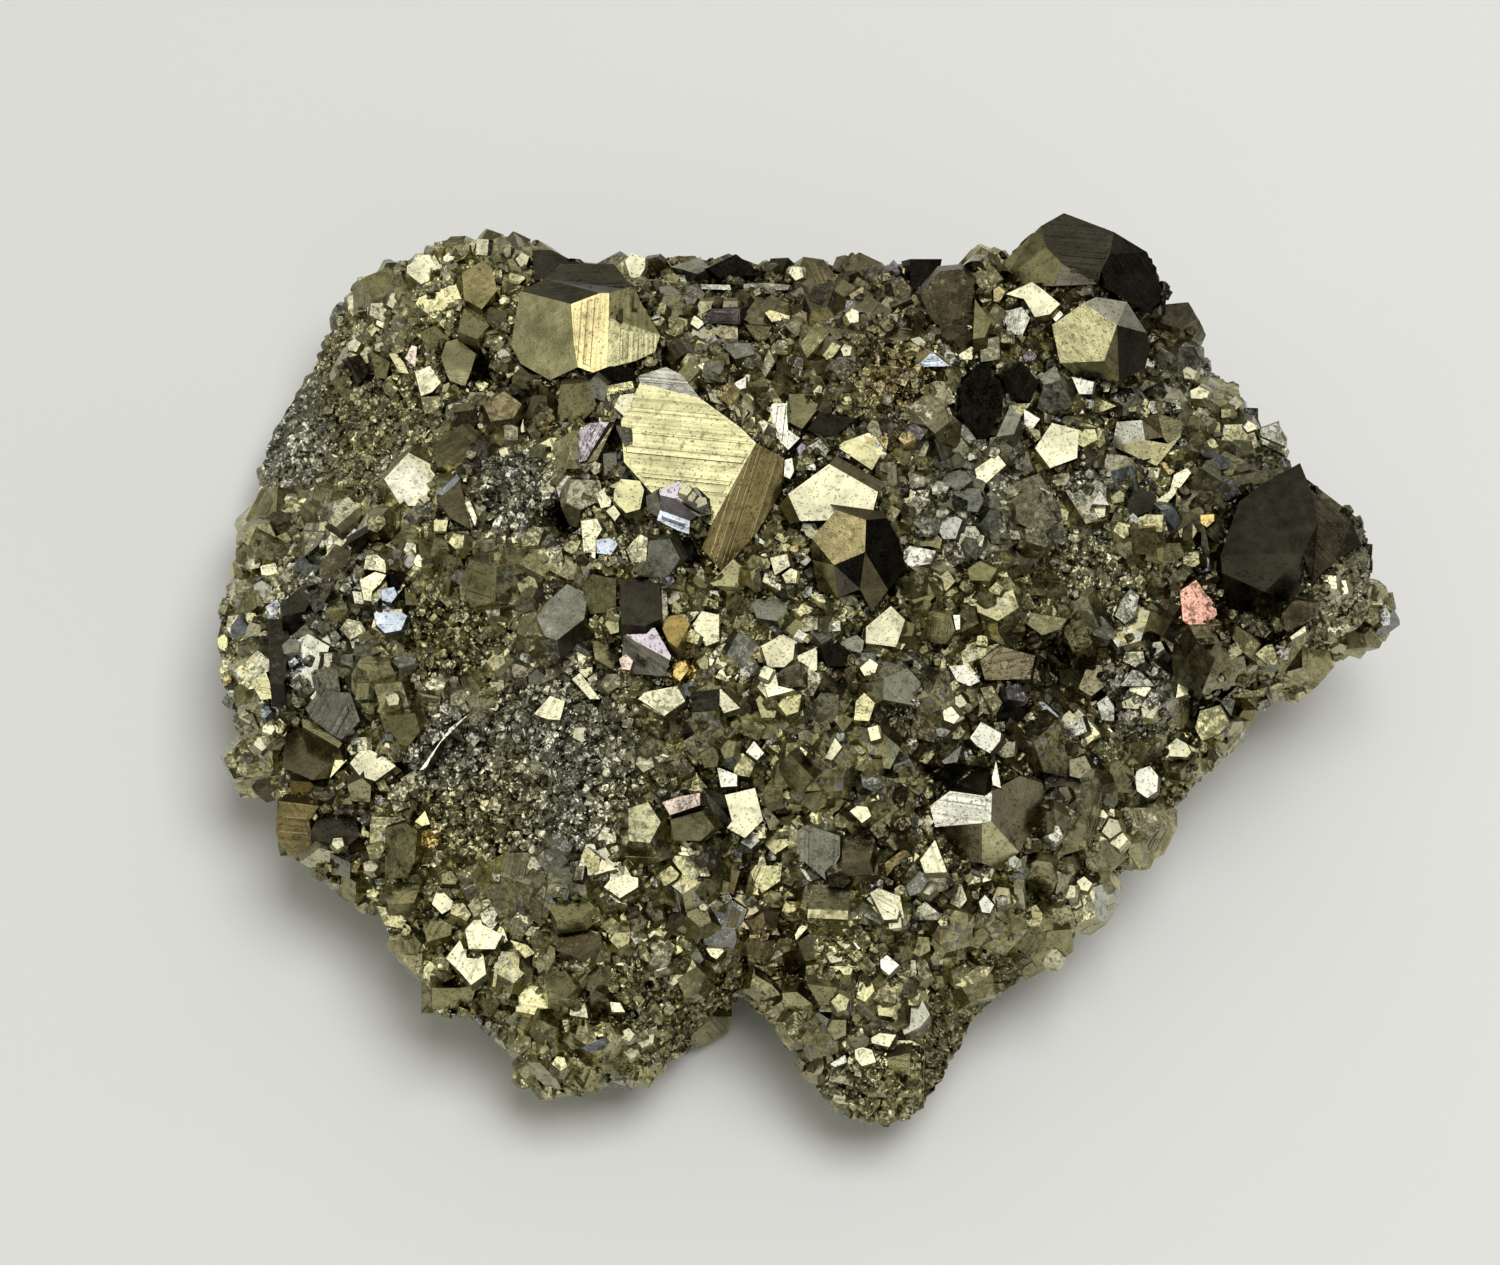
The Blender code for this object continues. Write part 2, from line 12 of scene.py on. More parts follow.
import bmesh
import bpy
import numpy as np
from mathutils import Matrix, Vector, kdtree, noise
from mathutils.bvhtree import BVHTree

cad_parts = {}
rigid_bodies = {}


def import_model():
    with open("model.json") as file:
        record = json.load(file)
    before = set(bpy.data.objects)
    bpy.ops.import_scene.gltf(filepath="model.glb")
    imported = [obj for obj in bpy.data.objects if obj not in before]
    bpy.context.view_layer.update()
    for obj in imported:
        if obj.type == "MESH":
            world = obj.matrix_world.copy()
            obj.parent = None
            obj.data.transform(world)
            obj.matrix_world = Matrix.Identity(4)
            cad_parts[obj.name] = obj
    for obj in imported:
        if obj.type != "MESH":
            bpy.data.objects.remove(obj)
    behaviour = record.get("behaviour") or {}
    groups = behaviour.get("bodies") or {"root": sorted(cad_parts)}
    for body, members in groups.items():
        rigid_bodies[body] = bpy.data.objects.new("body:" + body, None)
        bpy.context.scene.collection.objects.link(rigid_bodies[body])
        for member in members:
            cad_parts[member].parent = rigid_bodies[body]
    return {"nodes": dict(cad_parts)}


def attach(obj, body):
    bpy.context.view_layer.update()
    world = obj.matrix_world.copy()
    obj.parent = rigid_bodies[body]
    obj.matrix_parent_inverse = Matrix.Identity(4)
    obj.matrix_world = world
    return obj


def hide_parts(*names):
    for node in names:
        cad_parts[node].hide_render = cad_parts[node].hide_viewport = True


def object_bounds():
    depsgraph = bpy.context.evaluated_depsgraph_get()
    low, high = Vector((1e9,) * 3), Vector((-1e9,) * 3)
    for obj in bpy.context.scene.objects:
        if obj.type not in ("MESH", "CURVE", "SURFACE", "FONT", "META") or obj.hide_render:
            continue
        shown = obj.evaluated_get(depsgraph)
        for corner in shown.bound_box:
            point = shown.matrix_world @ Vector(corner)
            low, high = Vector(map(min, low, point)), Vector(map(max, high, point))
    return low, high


MM = 0.001
NODE = "pyrite_cluster"
BODY = "root"
SEED = 20

# The sight lines, as in the solid's own source: the camera looks down at 60 degrees
PICTURE_WIDTH = 1500
PICTURE_CENTRE = (750, 632.5)
MM_PER_PIXEL = 0.085
EYE_ELEVATION = math.radians(60)
EYE_DISTANCE = 300 * MM
SIGHT_CENTRE = Vector((0, 0, 12 * MM))
TO_EYE = Vector((0, -math.cos(EYE_ELEVATION), math.sin(EYE_ELEVATION)))
PICTURE_RIGHT = Vector((1, 0, 0))
PICTURE_UP = Vector((0, math.sin(EYE_ELEVATION), math.cos(EYE_ELEVATION)))
EYE = SIGHT_CENTRE + TO_EYE * EYE_DISTANCE
SENSOR_WIDTH = 36

# Crystal forms, with distances in units of half a pyritohedral face's width
BLANK_SIZE = 6
CUT_TOLERANCE = 1e-6
PYRITOHEDRON = [
    Vector(n).normalized()
    for a in (1, -1)
    for b in (1, -1)
    for n in ((2 * a, 0, b), (b, 2 * a, 0), (0, b, 2 * a))
]
CUBE = [Vector(n) for a in (1, -1) for n in ((a, 0, 0), (0, a, 0), (0, 0, a))]

# The planes that cut each kind of crystal: normals, their distance, the share of them that cuts
CUTS = {
    "p": [(PYRITOHEDRON, 3 / math.sqrt(5), 1), (CUBE, 1.36, 0.5)],
    "c": [(CUBE, 1.15, 1), (PYRITOHEDRON, 1.37, 0.3)],
}
CUT_SPREAD = 0.16
GRAIN_PLANES = 9
GRAIN_RADIUS = (0.7, 1.3)
GRAIN_LIMIT = 1.4
FORMS_OF_A_KIND = {"p": 16, "c": 10, "g": 12}

# Two faces of one crystal meet at one of these angles, which tells them from the massive rock
CRYSTAL_ANGLES = [math.radians(a) for a in (26.565, 53.130, 63.435, 66.422, 90)]
ANGLE_TOLERANCE = math.radians(0.4)
FLAT_ANGLE = math.radians(0.5)
WELD = 0.002 * MM

# Metallic colours
GOLD = (0.56, 0.525, 0.285)
PALE = (0.63, 0.60, 0.40)
OLIVE = (0.42, 0.39, 0.20)
BRONZE = (0.42, 0.34, 0.16)
STEEL = (0.47, 0.47, 0.385)
UMBER = (0.20, 0.17, 0.10)
SOOT = (0.085, 0.077, 0.056)
BLUE = (0.44, 0.48, 0.53)
VIOLET = (0.44, 0.39, 0.42)
BRASS = (0.50, 0.46, 0.25)
ORANGE_GOLD = (0.60, 0.51, 0.25)
COPPER = (0.66, 0.37, 0.27)
ORANGE = (0.62, 0.46, 0.17)
INK = (0.035, 0.032, 0.024)
SILVER = (0.64, 0.63, 0.52)
ROSE = (0.60, 0.49, 0.41)
TINT_LIMITS = (0.02, 0.95)

# The colours that small crystals take anywhere, and the share of each
TARNISH = [
    (GOLD, 0.37), (OLIVE, 0.19), (PALE, 0.15), (STEEL, 0.13), (UMBER, 0.09), (BRONZE, 0.04),
    (BLUE, 0.015), (VIOLET, 0.015),
]
TARNISH_SHADES = (0.75, 1.1)

# The kinds of face on the solid
CRYSTAL, ROCK, UNDERSIDE = 0, 1, 2

# The massive rock between the crystals and below: spacing of its breaks, depth of its relief,
# width of its lumps and how much they vary
ROCK_STEP = 0.86 * MM
ROCK_RELIEF = 0.30 * MM
ROCK_LUMPS = 1.3 * MM
ROCK_SPREAD = 0.7
BASE_STEP = 1.2 * MM
BASE_RELIEF = 0.8 * MM
BASE_LUMPS = 3 * ROCK_LUMPS
BASE_LIFT = 0.5
BASE_SPREAD = 0.3
BASE_WELD = 0.01 * MM
UNDERSIDE_LEVEL = 0.02 * MM
BREAK_PASSES = 6

# How bright and how rough the rock and the solid's crystal faces are, and how that varies
ROCK_SHADES = (0.5, 1.0)
FACE_SHADES = (0.85, 1.1)
ROCK_GLOSS = 0.28
FACE_GLOSS = 0.22
GLOSS_SPREAD = (-0.06, 0.08)

# How gritty a surface is: rock, flat faces, and how much more anything in a grainy patch is
ROCK_GRIT = 1.0
FACE_GRIT = 0.12
GRAINY_GRIT = 1.0

# Small crystals that grew over the solid: widths in mm, how many spots are tried, the least gap
# between two as a share of their widths, how deep they sit as a share of half their width, their
# kinds (p pyritohedron, c striated cube, g broken grain) and their grit
Growth = namedtuple("Growth", "name low high tries gap sink kinds grit")
GROWTHS = [
    Growth("crystals_large", 1.8, 2.8, 900, 0.56, (0.2, 0.8), "ppppc", 0.14),
    Growth("crystals_medium", 1.1, 1.9, 12000, 0.50, (0.1, 0.7), "pppc", 0.22),
    Growth("crystals_small", 0.65, 1.1, 40000, 0.50, (0.0, 0.6), "ppc", 0.35),
    Growth("crystals_fine", 0.35, 0.7, 80000, 0.58, (-0.2, 0.5), "ccg", 0.55),
]

# Where they grow: how far down a wall, how clear of the table and of the top of the solid's box
# (as a share of their width, and beyond it), and how far over the outlines of the set crystals
WALL_LIMIT = -0.35
CLEARANCE = 0.8
ABOVE_BOX = 0.9 * MM
OVERLAP = 0.49
BARE_LIMIT = 0.4
GRAINY_LIMIT = 0.4
GRAIN_WIDTH = 0.95 * MM

# On a face of a larger crystal they grow at its feet, apart from a few strays
FOOT_REACH = 0.3
FOOT_ANGLE = math.radians(8)
FOOT_STEP = 0.25 * MM
STRAY_SHARE = 0.004
LEAST_AREA = 1e-12

# Their faces: some turned to the lamp, some striated, and painted darker in the crevices, as shade
FACING_SHARE = 0.22
FACING_SPREAD = 0.26
LINED_SHARE = 0.5
SMALL_SHADES = (0.6, 1.25)
SMALL_GLOSS = (0.16, 0.36)
# Painted shade: faces below the first height in a crystal are darkest, those above the second are
# not shaded, and the darkest factor
CREVICE = (-0.3, 0.9)
PAINTED_CREVICE_SHADE = 0.5

# Patches of the picture: pixel, radius in mm and colour
Patch = namedtuple("Patch", "u v radius colour", defaults=(None,))

# Grains where nothing larger grew
GRAINY = [
    Patch(560, 760, 7.5, STEEL), Patch(480, 800, 6.0, BRASS), Patch(450, 640, 4.0, OLIVE),
    Patch(395, 445, 5.5, OLIVE), Patch(515, 495, 4.0, STEEL), Patch(900, 380, 4.0, BRONZE),
    Patch(1092, 568, 3.8, PALE), Patch(640, 1010, 4.5, GOLD), Patch(700, 1030, 4.0, OLIVE),
    Patch(890, 1095, 4.0, GOLD), Patch(1140, 700, 3.6, STEEL), Patch(1332, 598, 3.6, PALE),
    Patch(437, 300, 2.0, GOLD), Patch(842, 945, 2.4, GOLD), Patch(300, 380, 6.0, OLIVE),
    Patch(280, 450, 4.5, STEEL), Patch(970, 1030, 4.0, OLIVE), Patch(740, 985, 3.0, OLIVE),
    Patch(1190, 385, 3.0, SILVER), Patch(890, 720, 2.6, UMBER), Patch(905, 690, 2.4, STEEL),
    Patch(845, 955, 2.8, GOLD), Patch(718, 952, 1.8, PALE), Patch(1110, 832, 2.0, PALE),
    Patch(1080, 893, 2.4, PALE), Patch(615, 802, 2.6, PALE), Patch(297, 663, 1.0, BLUE),
    Patch(365, 478, 2.4, GOLD), Patch(404, 482, 2.2, SILVER), Patch(1090, 485, 2.2, STEEL),
    Patch(1180, 790, 2.4, OLIVE), Patch(1145, 695, 2.2, SILVER), Patch(450, 745, 4.0, SILVER),
]

# How the colour changes from place to place, and the share that it takes at a patch's middle
TINTS = [
    Patch(1290, 520, 9.0, SOOT), Patch(1075, 262, 7.5, UMBER), Patch(1150, 300, 6.0, UMBER),
    Patch(750, 285, 6.0, UMBER), Patch(860, 280, 6.0, UMBER), Patch(575, 275, 4.0, SOOT),
    Patch(1020, 797, 4.0, UMBER), Patch(1068, 790, 3.4, SOOT), Patch(1060, 670, 4.5, UMBER),
    Patch(520, 405, 3.2, UMBER), Patch(530, 770, 5.0, STEEL), Patch(460, 300, 6.0, GOLD),
    Patch(420, 940, 7.0, GOLD), Patch(560, 1040, 6.0, GOLD), Patch(620, 720, 5.0, OLIVE),
    Patch(300, 660, 4.0, STEEL), Patch(330, 600, 4.0, STEEL), Patch(770, 950, 5.0, BRONZE),
    Patch(1200, 640, 5.0, UMBER), Patch(960, 600, 6.0, OLIVE), Patch(1130, 840, 5.0, OLIVE),
    Patch(980, 500, 6.0, STEEL), Patch(870, 1080, 5.0, PALE), Patch(560, 840, 5.0, STEEL),
    Patch(1340, 640, 4.0, OLIVE), Patch(1195, 318, 3.6, SOOT), Patch(1170, 290, 3.0, SOOT),
]
TINT_SHARE = 0.75

# Single crystals picked out by their tarnish
STAINS = [
    Patch(683, 642, 1.4, ORANGE), Patch(683, 672, 1.2, ORANGE), Patch(428, 838, 1.2, ORANGE),
    Patch(705, 555, 0.9, ORANGE),
]

# Walls of bare rock where nothing grew, and the hollows between the crystals, which are pressed
# deeper and painted dark as shade
BARE = [
    Patch(282, 385, 3.6, STEEL), Patch(262, 440, 2.6, STEEL), Patch(300, 330, 2.4, STEEL),
    Patch(965, 1030, 4.2, BRASS), Patch(1005, 975, 2.6, OLIVE), Patch(930, 1075, 3.2, BRASS),
    Patch(1310, 655, 2.2, BRASS),
]
HOLLOWS = [
    Patch(557, 525, 1.7, SOOT), Patch(1060, 655, 1.8, UMBER), Patch(522, 408, 1.4, SOOT),
    Patch(805, 965, 1.2, SOOT), Patch(402, 770, 1.0, SOOT), Patch(776, 925, 1.2, SOOT),
]
HOLLOW_DEPTH = 2.6 * MM

# Crystals of the solid that are worn rough and grown over, where a patch is stronger than this
WORN = [
    Patch(1140, 695, 3.4), Patch(1015, 515, 2.6), Patch(890, 395, 4.4), Patch(1338, 604, 4.6),
    Patch(1262, 588, 2.0), Patch(898, 1068, 2.4),
]
WORN_LIMIT = 0.5

# How far a face leans right and up from facing the eye (degrees), named by how bright the studio
# makes it. The drift keeps that brightness the same all over the picture (degrees a pixel).
LIT = (-6, 15)
GLOW = (-19, 9)
SOFT = (0, 0)
MILD = (-10, 40)
EVEN = (-6, -38)
DUSK = (-18, -9)
DARK = (24, 14)
LEAN_DRIFT = 0.0115

# Small crystals set by the corners of their tops in the picture: lean, colour, corners, and the
# bearing of the ledges if there are any (degrees clockwise from up)
Gem = namedtuple("Gem", "lean colour corners ledges", defaults=(None,))
GEMS = [
    # Along the top left
    Gem(LIT, PALE, "407,266 424,255 442,267 442,276 421,284 407,273"),
    Gem(MILD, ORANGE_GOLD, "462,273 482,261 492,268 497,290 482,309 464,299"),
    Gem(MILD, OLIVE, "464,303 476,306 489,326 477,339 458,332"),
    Gem(LIT, PALE, "415,372 430,366 442,381 432,392 421,396", 60),
    Gem(GLOW, ROSE, "405,358 412,345 417,347 415,367"),
    Gem(LIT, GOLD, "389,354 396,353 404,363 409,374 399,372"),
    Gem(DUSK, OLIVE, "420,332 435,326 450,339 439,357 426,352"),
    Gem(DARK, SOOT, "347,358 360,354 372,372 360,382"),
    Gem(DUSK, OLIVE, "372,352 390,362 386,379 375,377"),
    Gem(MILD, BRASS, "421,397 439,396 450,409 425,414"),
    Gem(MILD, SOOT, "532,250 552,250 579,264 565,280 535,280"),
    Gem(LIT, PALE, "625,261 632,253 645,259 645,268 637,281 630,276"),
    Gem(DUSK, UMBER, "645,259 657,257 670,268 660,279 645,281"),
    Gem(MILD, STEEL, "670,267 700,257 710,268 697,274 682,269"),
    Gem(DARK, SOOT, "707,268 736,254 762,274 720,278"),
    Gem(SOFT, SILVER, "700,284 730,285 731,290 702,289"),
    Gem(SOFT, SILVER, "742,284 764,283 790,285 788,290 745,290"),
    Gem(DUSK, VIOLET, "702,323 711,309 740,309 740,324", 90),
    Gem(GLOW, GOLD, "765,313 770,310 790,316 789,320 772,322"),
    Gem(SOFT, OLIVE, "745,325 772,327 770,344 757,342"),
    Gem(SOFT, PALE, "760,367 769,350 775,362 765,378"),
    Gem(MILD, STEEL, "721,344 750,343 755,354 735,359"),
    # Around the largest crystal
    Gem(DARK, SOOT, "595,372 610,366 634,368 637,382 607,385"),
    Gem(GLOW, GOLD, "606,386 632,381 634,388 606,396", 97),
    Gem(LIT, PALE, "614,407 620,395 637,393 640,411 625,417"),
    Gem(DUSK, STEEL, "589,382 596,375 607,385 605,402 592,397"),
    Gem(DUSK, OLIVE, "560,385 590,382 597,407 581,422 557,422"),
    Gem(GLOW, VIOLET, "579,430 590,423 609,422 586,460 579,462", 30),
    Gem(SOFT, BRASS, "610,422 616,419 597,460 587,463", 30),
    Gem(DUSK, STEEL, "616,427 629,430 631,442 624,446"),
    Gem(DUSK, STEEL, "603,454 616,452 617,466 604,478"),
    Gem(LIT, GOLD, "614,491 621,479 640,481 644,490 640,509 626,513 614,501"),
    Gem(LIT, PALE, "596,494 607,486 613,494 610,506 601,508"),
    Gem(LIT, PALE, "606,511 614,505 620,514 615,521"),
    Gem(GLOW, PALE, "581,521 597,519 602,529 596,539 595,559 584,554"),
    Gem(LIT, BLUE, "596,540 610,538 618,544 611,555 597,553"),
    Gem(GLOW, PALE, "626,549 640,534 648,538 646,561 632,563"),
    Gem(DUSK, STEEL, "646,496 657,491 661,509 657,516 647,511"),
    Gem(DUSK, STEEL, "649,541 670,539 680,559 665,581 645,579"),
    Gem(DARK, SOOT, "674,541 692,537 700,559 682,561"),
    Gem(MILD, SOOT, "620,580 645,579 660,584 660,619 645,626 621,624"),
    Gem(DUSK, OLIVE, "582,589 592,574 616,579 616,611 590,614"),
    Gem(MILD, STEEL, "537,619 545,604 567,584 588,594 584,619 557,640 545,636"),
    Gem(MILD, OLIVE, "592,641 615,639 619,656 612,669 595,659"),
    Gem(GLOW, ROSE, "619,659 626,654 633,661 630,670 622,669"),
    Gem(MILD, ORANGE, "662,628 670,616 682,614 690,624 677,648 668,641"),
    Gem(GLOW, GOLD, "691,629 700,636 697,644 681,640"),
    Gem(GLOW, ORANGE, "674,664 685,660 689,669 680,681 673,676"),
    Gem(LIT, PALE, "693,624 702,611 719,615 719,641 706,646 697,636"),
    Gem(LIT, PALE, "762,649 780,635 795,643 793,659 784,667 768,667"),
    Gem(LIT, PALE, "797,656 817,647 817,670 810,673 800,666", 20),
    Gem(DARK, SOOT, "821,647 830,641 850,651 845,666 827,666"),
    Gem(MILD, STEEL, "840,641 857,635 864,641 862,653 848,650"),
    Gem(LIT, SILVER, "770,409 772,404 787,403 787,429 800,438 788,450 777,439", 5),
    Gem(LIT, SILVER, "785,460 792,458 794,471 790,479 784,476"),
    Gem(LIT, SILVER, "732,384 746,377 746,388 736,391"),
    Gem(MILD, BRASS, "789,394 807,394 819,407 802,429 789,422"),
    Gem(DUSK, SOOT, "807,430 820,412 855,419 832,439"),
    Gem(LIT, GOLD, "839,448 857,437 880,456 872,470"),
    Gem(GLOW, PALE, "770,558 787,554 790,566 775,575"),
    Gem(GLOW, PALE, "782,575 791,568 797,571 796,583 786,583"),
    Gem(MILD, STEEL, "750,600 775,596 788,606 778,621 757,618"),
    # Right of the middle, up to the back
    Gem(MILD, OLIVE, "800,344 817,322 830,332 807,358", 38),
    Gem(DUSK, VIOLET, "882,273 892,262 900,271 899,276"),
    Gem(DARK, SOOT, "910,259 942,259 940,269 920,294 911,289"),
    Gem(SOFT, UMBER, "920,294 940,271 960,269 974,281 970,327 942,332 930,317"),
    Gem(MILD, OLIVE, "975,299 991,322 985,337 973,339"),
    Gem(LIT, PALE, "1006,294 1032,282 1042,289 1060,304 1050,314 1035,317 1024,299"),
    Gem(SOFT, SILVER, "1002,312 1022,307 1030,318 1022,336 1004,332", 5),
    Gem(SOFT, PALE, "980,341 999,336 1000,359 981,362"),
    Gem(GLOW, BLUE, "916,367 932,352 950,366", 90),
    Gem(DARK, SOOT, "980,364 990,362 1004,390 1000,434 980,439 962,417 960,387"),
    Gem(DARK, SOOT, "1006,371 1021,361 1039,382 1030,402 1014,397", 30),
    Gem(MILD, STEEL, "996,437 1011,404 1020,419 1014,434"),
    Gem(LIT, SILVER, "1024,409 1040,419 1025,439"),
    Gem(LIT, PALE, "975,469 997,454 1006,465 985,484 977,480", 60),
    Gem(MILD, STEEL, "940,484 945,476 965,471 972,480 960,490"),
    Gem(SOFT, SILVER, "904,550 910,546 936,551 930,564 914,566 902,580"),
    Gem(MILD, GOLD, "920,546 932,530 942,539 940,549 930,546", 20),
    Gem(LIT, PALE, "866,627 891,606 905,620 896,647 866,643"),
    Gem(MILD, OLIVE, "906,621 915,624 912,636 901,636"),
    Gem(DUSK, OLIVE, "921,626 932,611 951,615 955,631 945,644 922,641", 10),
    Gem(LIT, SILVER, "953,615 960,615 960,629 956,630"),
    Gem(MILD, OLIVE, "967,569 980,561 997,569 990,581 970,580"),
    Gem(MILD, BRASS, "1029,594 1030,574 1052,566 1065,586 1047,596", 110),
    Gem(SOFT, GOLD, "1027,624 1032,613 1067,619 1060,629 1042,635"),
    Gem(SOFT, UMBER, "980,661 1000,646 1035,656 1030,679 985,680", 80),
    Gem(LIT, SILVER, "949,666 965,665 980,681 970,686 957,681"),
    Gem(LIT, SILVER, "1072,377 1094,382 1092,394 1079,394"),
    Gem(GLOW, GOLD, "1094,396 1116,406 1096,414"),
    Gem(LIT, PALE, "1260,437 1287,448 1284,454 1260,443"),
    Gem(SOFT, PALE, "1274,436 1281,429 1287,439 1286,459 1279,459"),
    Gem(SOFT, STEEL, "1260,429 1279,422 1281,434 1285,446 1261,436"),
    Gem(LIT, PALE, "1156,501 1170,491 1174,475 1187,468 1191,473 1175,494 1167,503"),
    Gem(MILD, SOOT, "1125,494 1140,485 1155,494 1155,509 1137,516 1127,509"),
    Gem(LIT, SILVER, "1092,504 1100,491 1109,505"),
    Gem(GLOW, ORANGE, "1200,515 1214,514 1214,521 1207,527 1201,523"),
    Gem(DUSK, OLIVE, "1147,544 1180,543 1185,556 1165,566 1145,560"),
    Gem(SOFT, STEEL, "1121,601 1130,589 1139,596 1135,616 1125,624 1115,616"),
    Gem(SOFT, COPPER, "1180,591 1196,580 1206,594 1215,603 1217,614 1207,630 1195,629 1183,621"),
    Gem(SOFT, UMBER, "1281,627 1282,614 1294,600 1317,603 1315,616 1288,632"),
    Gem(LIT, PALE, "1290,637 1305,626 1306,631 1292,640"),
    Gem(SOFT, OLIVE, "1232,638 1237,626 1252,636 1260,644 1250,658 1242,651"),
    Gem(SOFT, BRASS, "1255,654 1265,646 1272,644 1279,665 1267,664"),
    Gem(SOFT, STEEL, "1132,670 1140,671 1155,686 1120,686"),
    Gem(LIT, SILVER, "1135,778 1137,770 1150,766 1158,776 1157,791 1147,798 1137,791"),
    Gem(SOFT, GOLD, "1200,711 1220,705 1230,723 1220,733 1202,741 1195,728"),
    Gem(SOFT, STEEL, "1210,698 1221,692 1235,701 1231,716 1221,702"),
    Gem(LIT, PALE, "1169,756 1172,745 1187,744 1191,752 1187,757"),
    Gem(MILD, OLIVE, "1162,761 1191,759 1180,773 1165,771"),
    Gem(SOFT, BRASS, "1227,690 1235,686 1252,691 1267,687 1262,696 1235,698"),
    Gem(GLOW, STEEL, "1060,726 1082,716 1087,731 1070,740", 62),
    Gem(SOFT, STEEL, "1097,703 1107,696 1114,706 1114,721 1102,720"),
    # Down the left side
    Gem(SOFT, PALE, "304,531 325,533 317,546 305,556", 30),
    Gem(EVEN, SOOT, "347,544 370,531 372,544 360,556"),
    Gem(MILD, UMBER, "437,499 460,481 465,504 470,529 450,518"),
    Gem(LIT, GOLD, "434,520 448,520 446,531 434,531"),
    Gem(MILD, BLUE, "437,494 457,474 460,479 444,496"),
    Gem(GLOW, PALE, "465,503 470,501 477,518 475,526"),
    Gem(GLOW, PALE, "260,566 275,563 280,574 262,576"),
    Gem(MILD, UMBER, "320,564 336,544 355,554 352,571 335,578 320,583"),
    Gem(SOFT, SOOT, "307,599 320,585 335,581 322,608 315,614"),
    Gem(MILD, BRASS, "337,582 345,591 347,609 325,610"),
    Gem(MILD, SOOT, "280,604 305,584 318,588 305,611 282,616"),
    Gem(GLOW, PALE, "364,569 366,556 376,554 385,561 386,573 375,570"),
    Gem(LIT, PALE, "360,580 375,572 386,575 380,584 372,591 371,601 364,600"),
    Gem(LIT, BLUE, "381,590 394,587 397,595 391,603 382,600"),
    Gem(DARK, SOOT, "390,574 400,571 407,575 400,588 391,584"),
    Gem(LIT, BLUE, "374,613 400,611 407,616 401,630 385,633 376,624"),
    Gem(SOFT, PALE, "340,629 347,619 360,621 366,631 350,640"),
    Gem(DUSK, BLUE, "231,626 239,615 249,629 237,641 230,636"),
    Gem(LIT, GOLD, "217,639 224,634 229,641 225,651 219,648"),
    Gem(LIT, GOLD, "251,681 266,672 275,698 261,700 254,688", 100),
    Gem(MILD, SOOT, "267,620 285,618 290,640 283,684 270,684"),
    Gem(MILD, STEEL, "282,645 292,636 300,642 298,652 284,654"),
    Gem(DUSK, STEEL, "305,708 320,691 350,693 360,721 340,741 312,719", 33),
    Gem(MILD, BRASS, "302,719 311,721 342,743 339,748 303,727"),
    Gem(DUSK, OLIVE, "380,717 415,713 420,731 405,751 385,731"),
    Gem(LIT, PALE, "350,763 360,751 370,750 387,758 396,766 375,781 360,776"),
    Gem(EVEN, GOLD, "347,785 362,778 371,786 370,802 352,801"),
    Gem(SOFT, OLIVE, "376,783 384,779 389,791 380,791"),
    Gem(EVEN, BRASS, "290,781 310,782 315,786 307,798 291,796"),
    Gem(DUSK, BRONZE, "280,801 319,806 309,821 313,841 297,861 280,841 276,821", 92),
    Gem(MILD, SOOT, "320,813 355,816 360,836 347,846 320,841 311,831"),
    Gem(EVEN, PALE, "300,862 320,848 337,853 332,863 310,868"),
    Gem(DUSK, OLIVE, "385,828 405,823 417,830 415,861 407,878 385,878"),
    Gem(LIT, GOLD, "407,830 425,811 430,824 415,828"),
    Gem(SOFT, OLIVE, "366,846 380,842 385,848 380,858 370,860"),
    Gem(GLOW, SILVER, "420,770 450,728 470,713 440,743 425,769", 35),
    Gem(MILD, OLIVE, "380,888 400,881 420,886 414,903 388,904"),
    Gem(SOFT, BRASS, "377,906 400,910 407,922 412,931 385,925"),
    Gem(LIT, PALE, "432,904 436,893 444,893 457,905 442,914"),
    Gem(LIT, PALE, "465,930 474,920 502,935 495,949 469,949"),
    Gem(LIT, PALE, "446,958 460,940 467,958 484,959 486,974 471,985 461,973", 25),
    Gem(MILD, OLIVE, "422,920 439,918 452,925 451,935 427,942", 15),
    Gem(EVEN, OLIVE, "432,988 460,988 477,985 469,1010 432,1009"),
    Gem(DUSK, OLIVE, "480,993 500,1003 490,1017 474,1013"),
    # Along the bottom
    Gem(LIT, PALE, "572,679 580,673 600,699 590,699", 140),
    Gem(LIT, PALE, "534,714 550,696 565,701 560,720 547,719", 22),
    Gem(GLOW, PALE, "638,699 645,692 677,686 685,701 664,716 647,704"),
    Gem(EVEN, SOOT, "692,701 716,697 720,710 692,713"),
    Gem(LIT, PALE, "714,695 721,689 740,708 724,713"),
    Gem(LIT, PALE, "760,670 775,670 778,686 795,690 768,697"),
    Gem(LIT, GOLD, "856,701 864,693 875,703 869,721 854,720", 100),
    Gem(DARK, SOOT, "820,691 847,681 845,693 830,698"),
    Gem(LIT, SILVER, "717,767 737,775 737,786 721,787"),
    Gem(LIT, SILVER, "746,752 754,741 764,753 757,760"),
    Gem(LIT, SILVER, "970,738 981,722 1001,733 1000,741 990,753 977,746"),
    Gem(LIT, SILVER, "992,778 996,761 1001,788 993,785"),
    Gem(SOFT, SILVER, "942,761 962,745 957,762 944,764"),
    Gem(SOFT, BRASS, "980,688 992,686 1002,703 995,716 987,703"),
    Gem(DARK, SOOT, "997,708 1025,708 1024,722 996,721"),
    Gem(GLOW, ROSE, "662,802 682,796 700,793 700,805 670,815"),
    Gem(DUSK, BRASS, "670,820 702,811 715,828 700,841 675,840"),
    Gem(GLOW, BRASS, "581,856 587,847 600,858 598,871 591,875"),
    Gem(LIT, PALE, "602,859 616,869 594,875"),
    Gem(LIT, PALE, "604,887 610,880 624,875 638,878 638,887 620,898"),
    Gem(GLOW, GOLD, "750,873 756,865 782,866 780,881 762,893", 22),
    Gem(LIT, PALE, "825,758 835,738 842,747 832,760"),
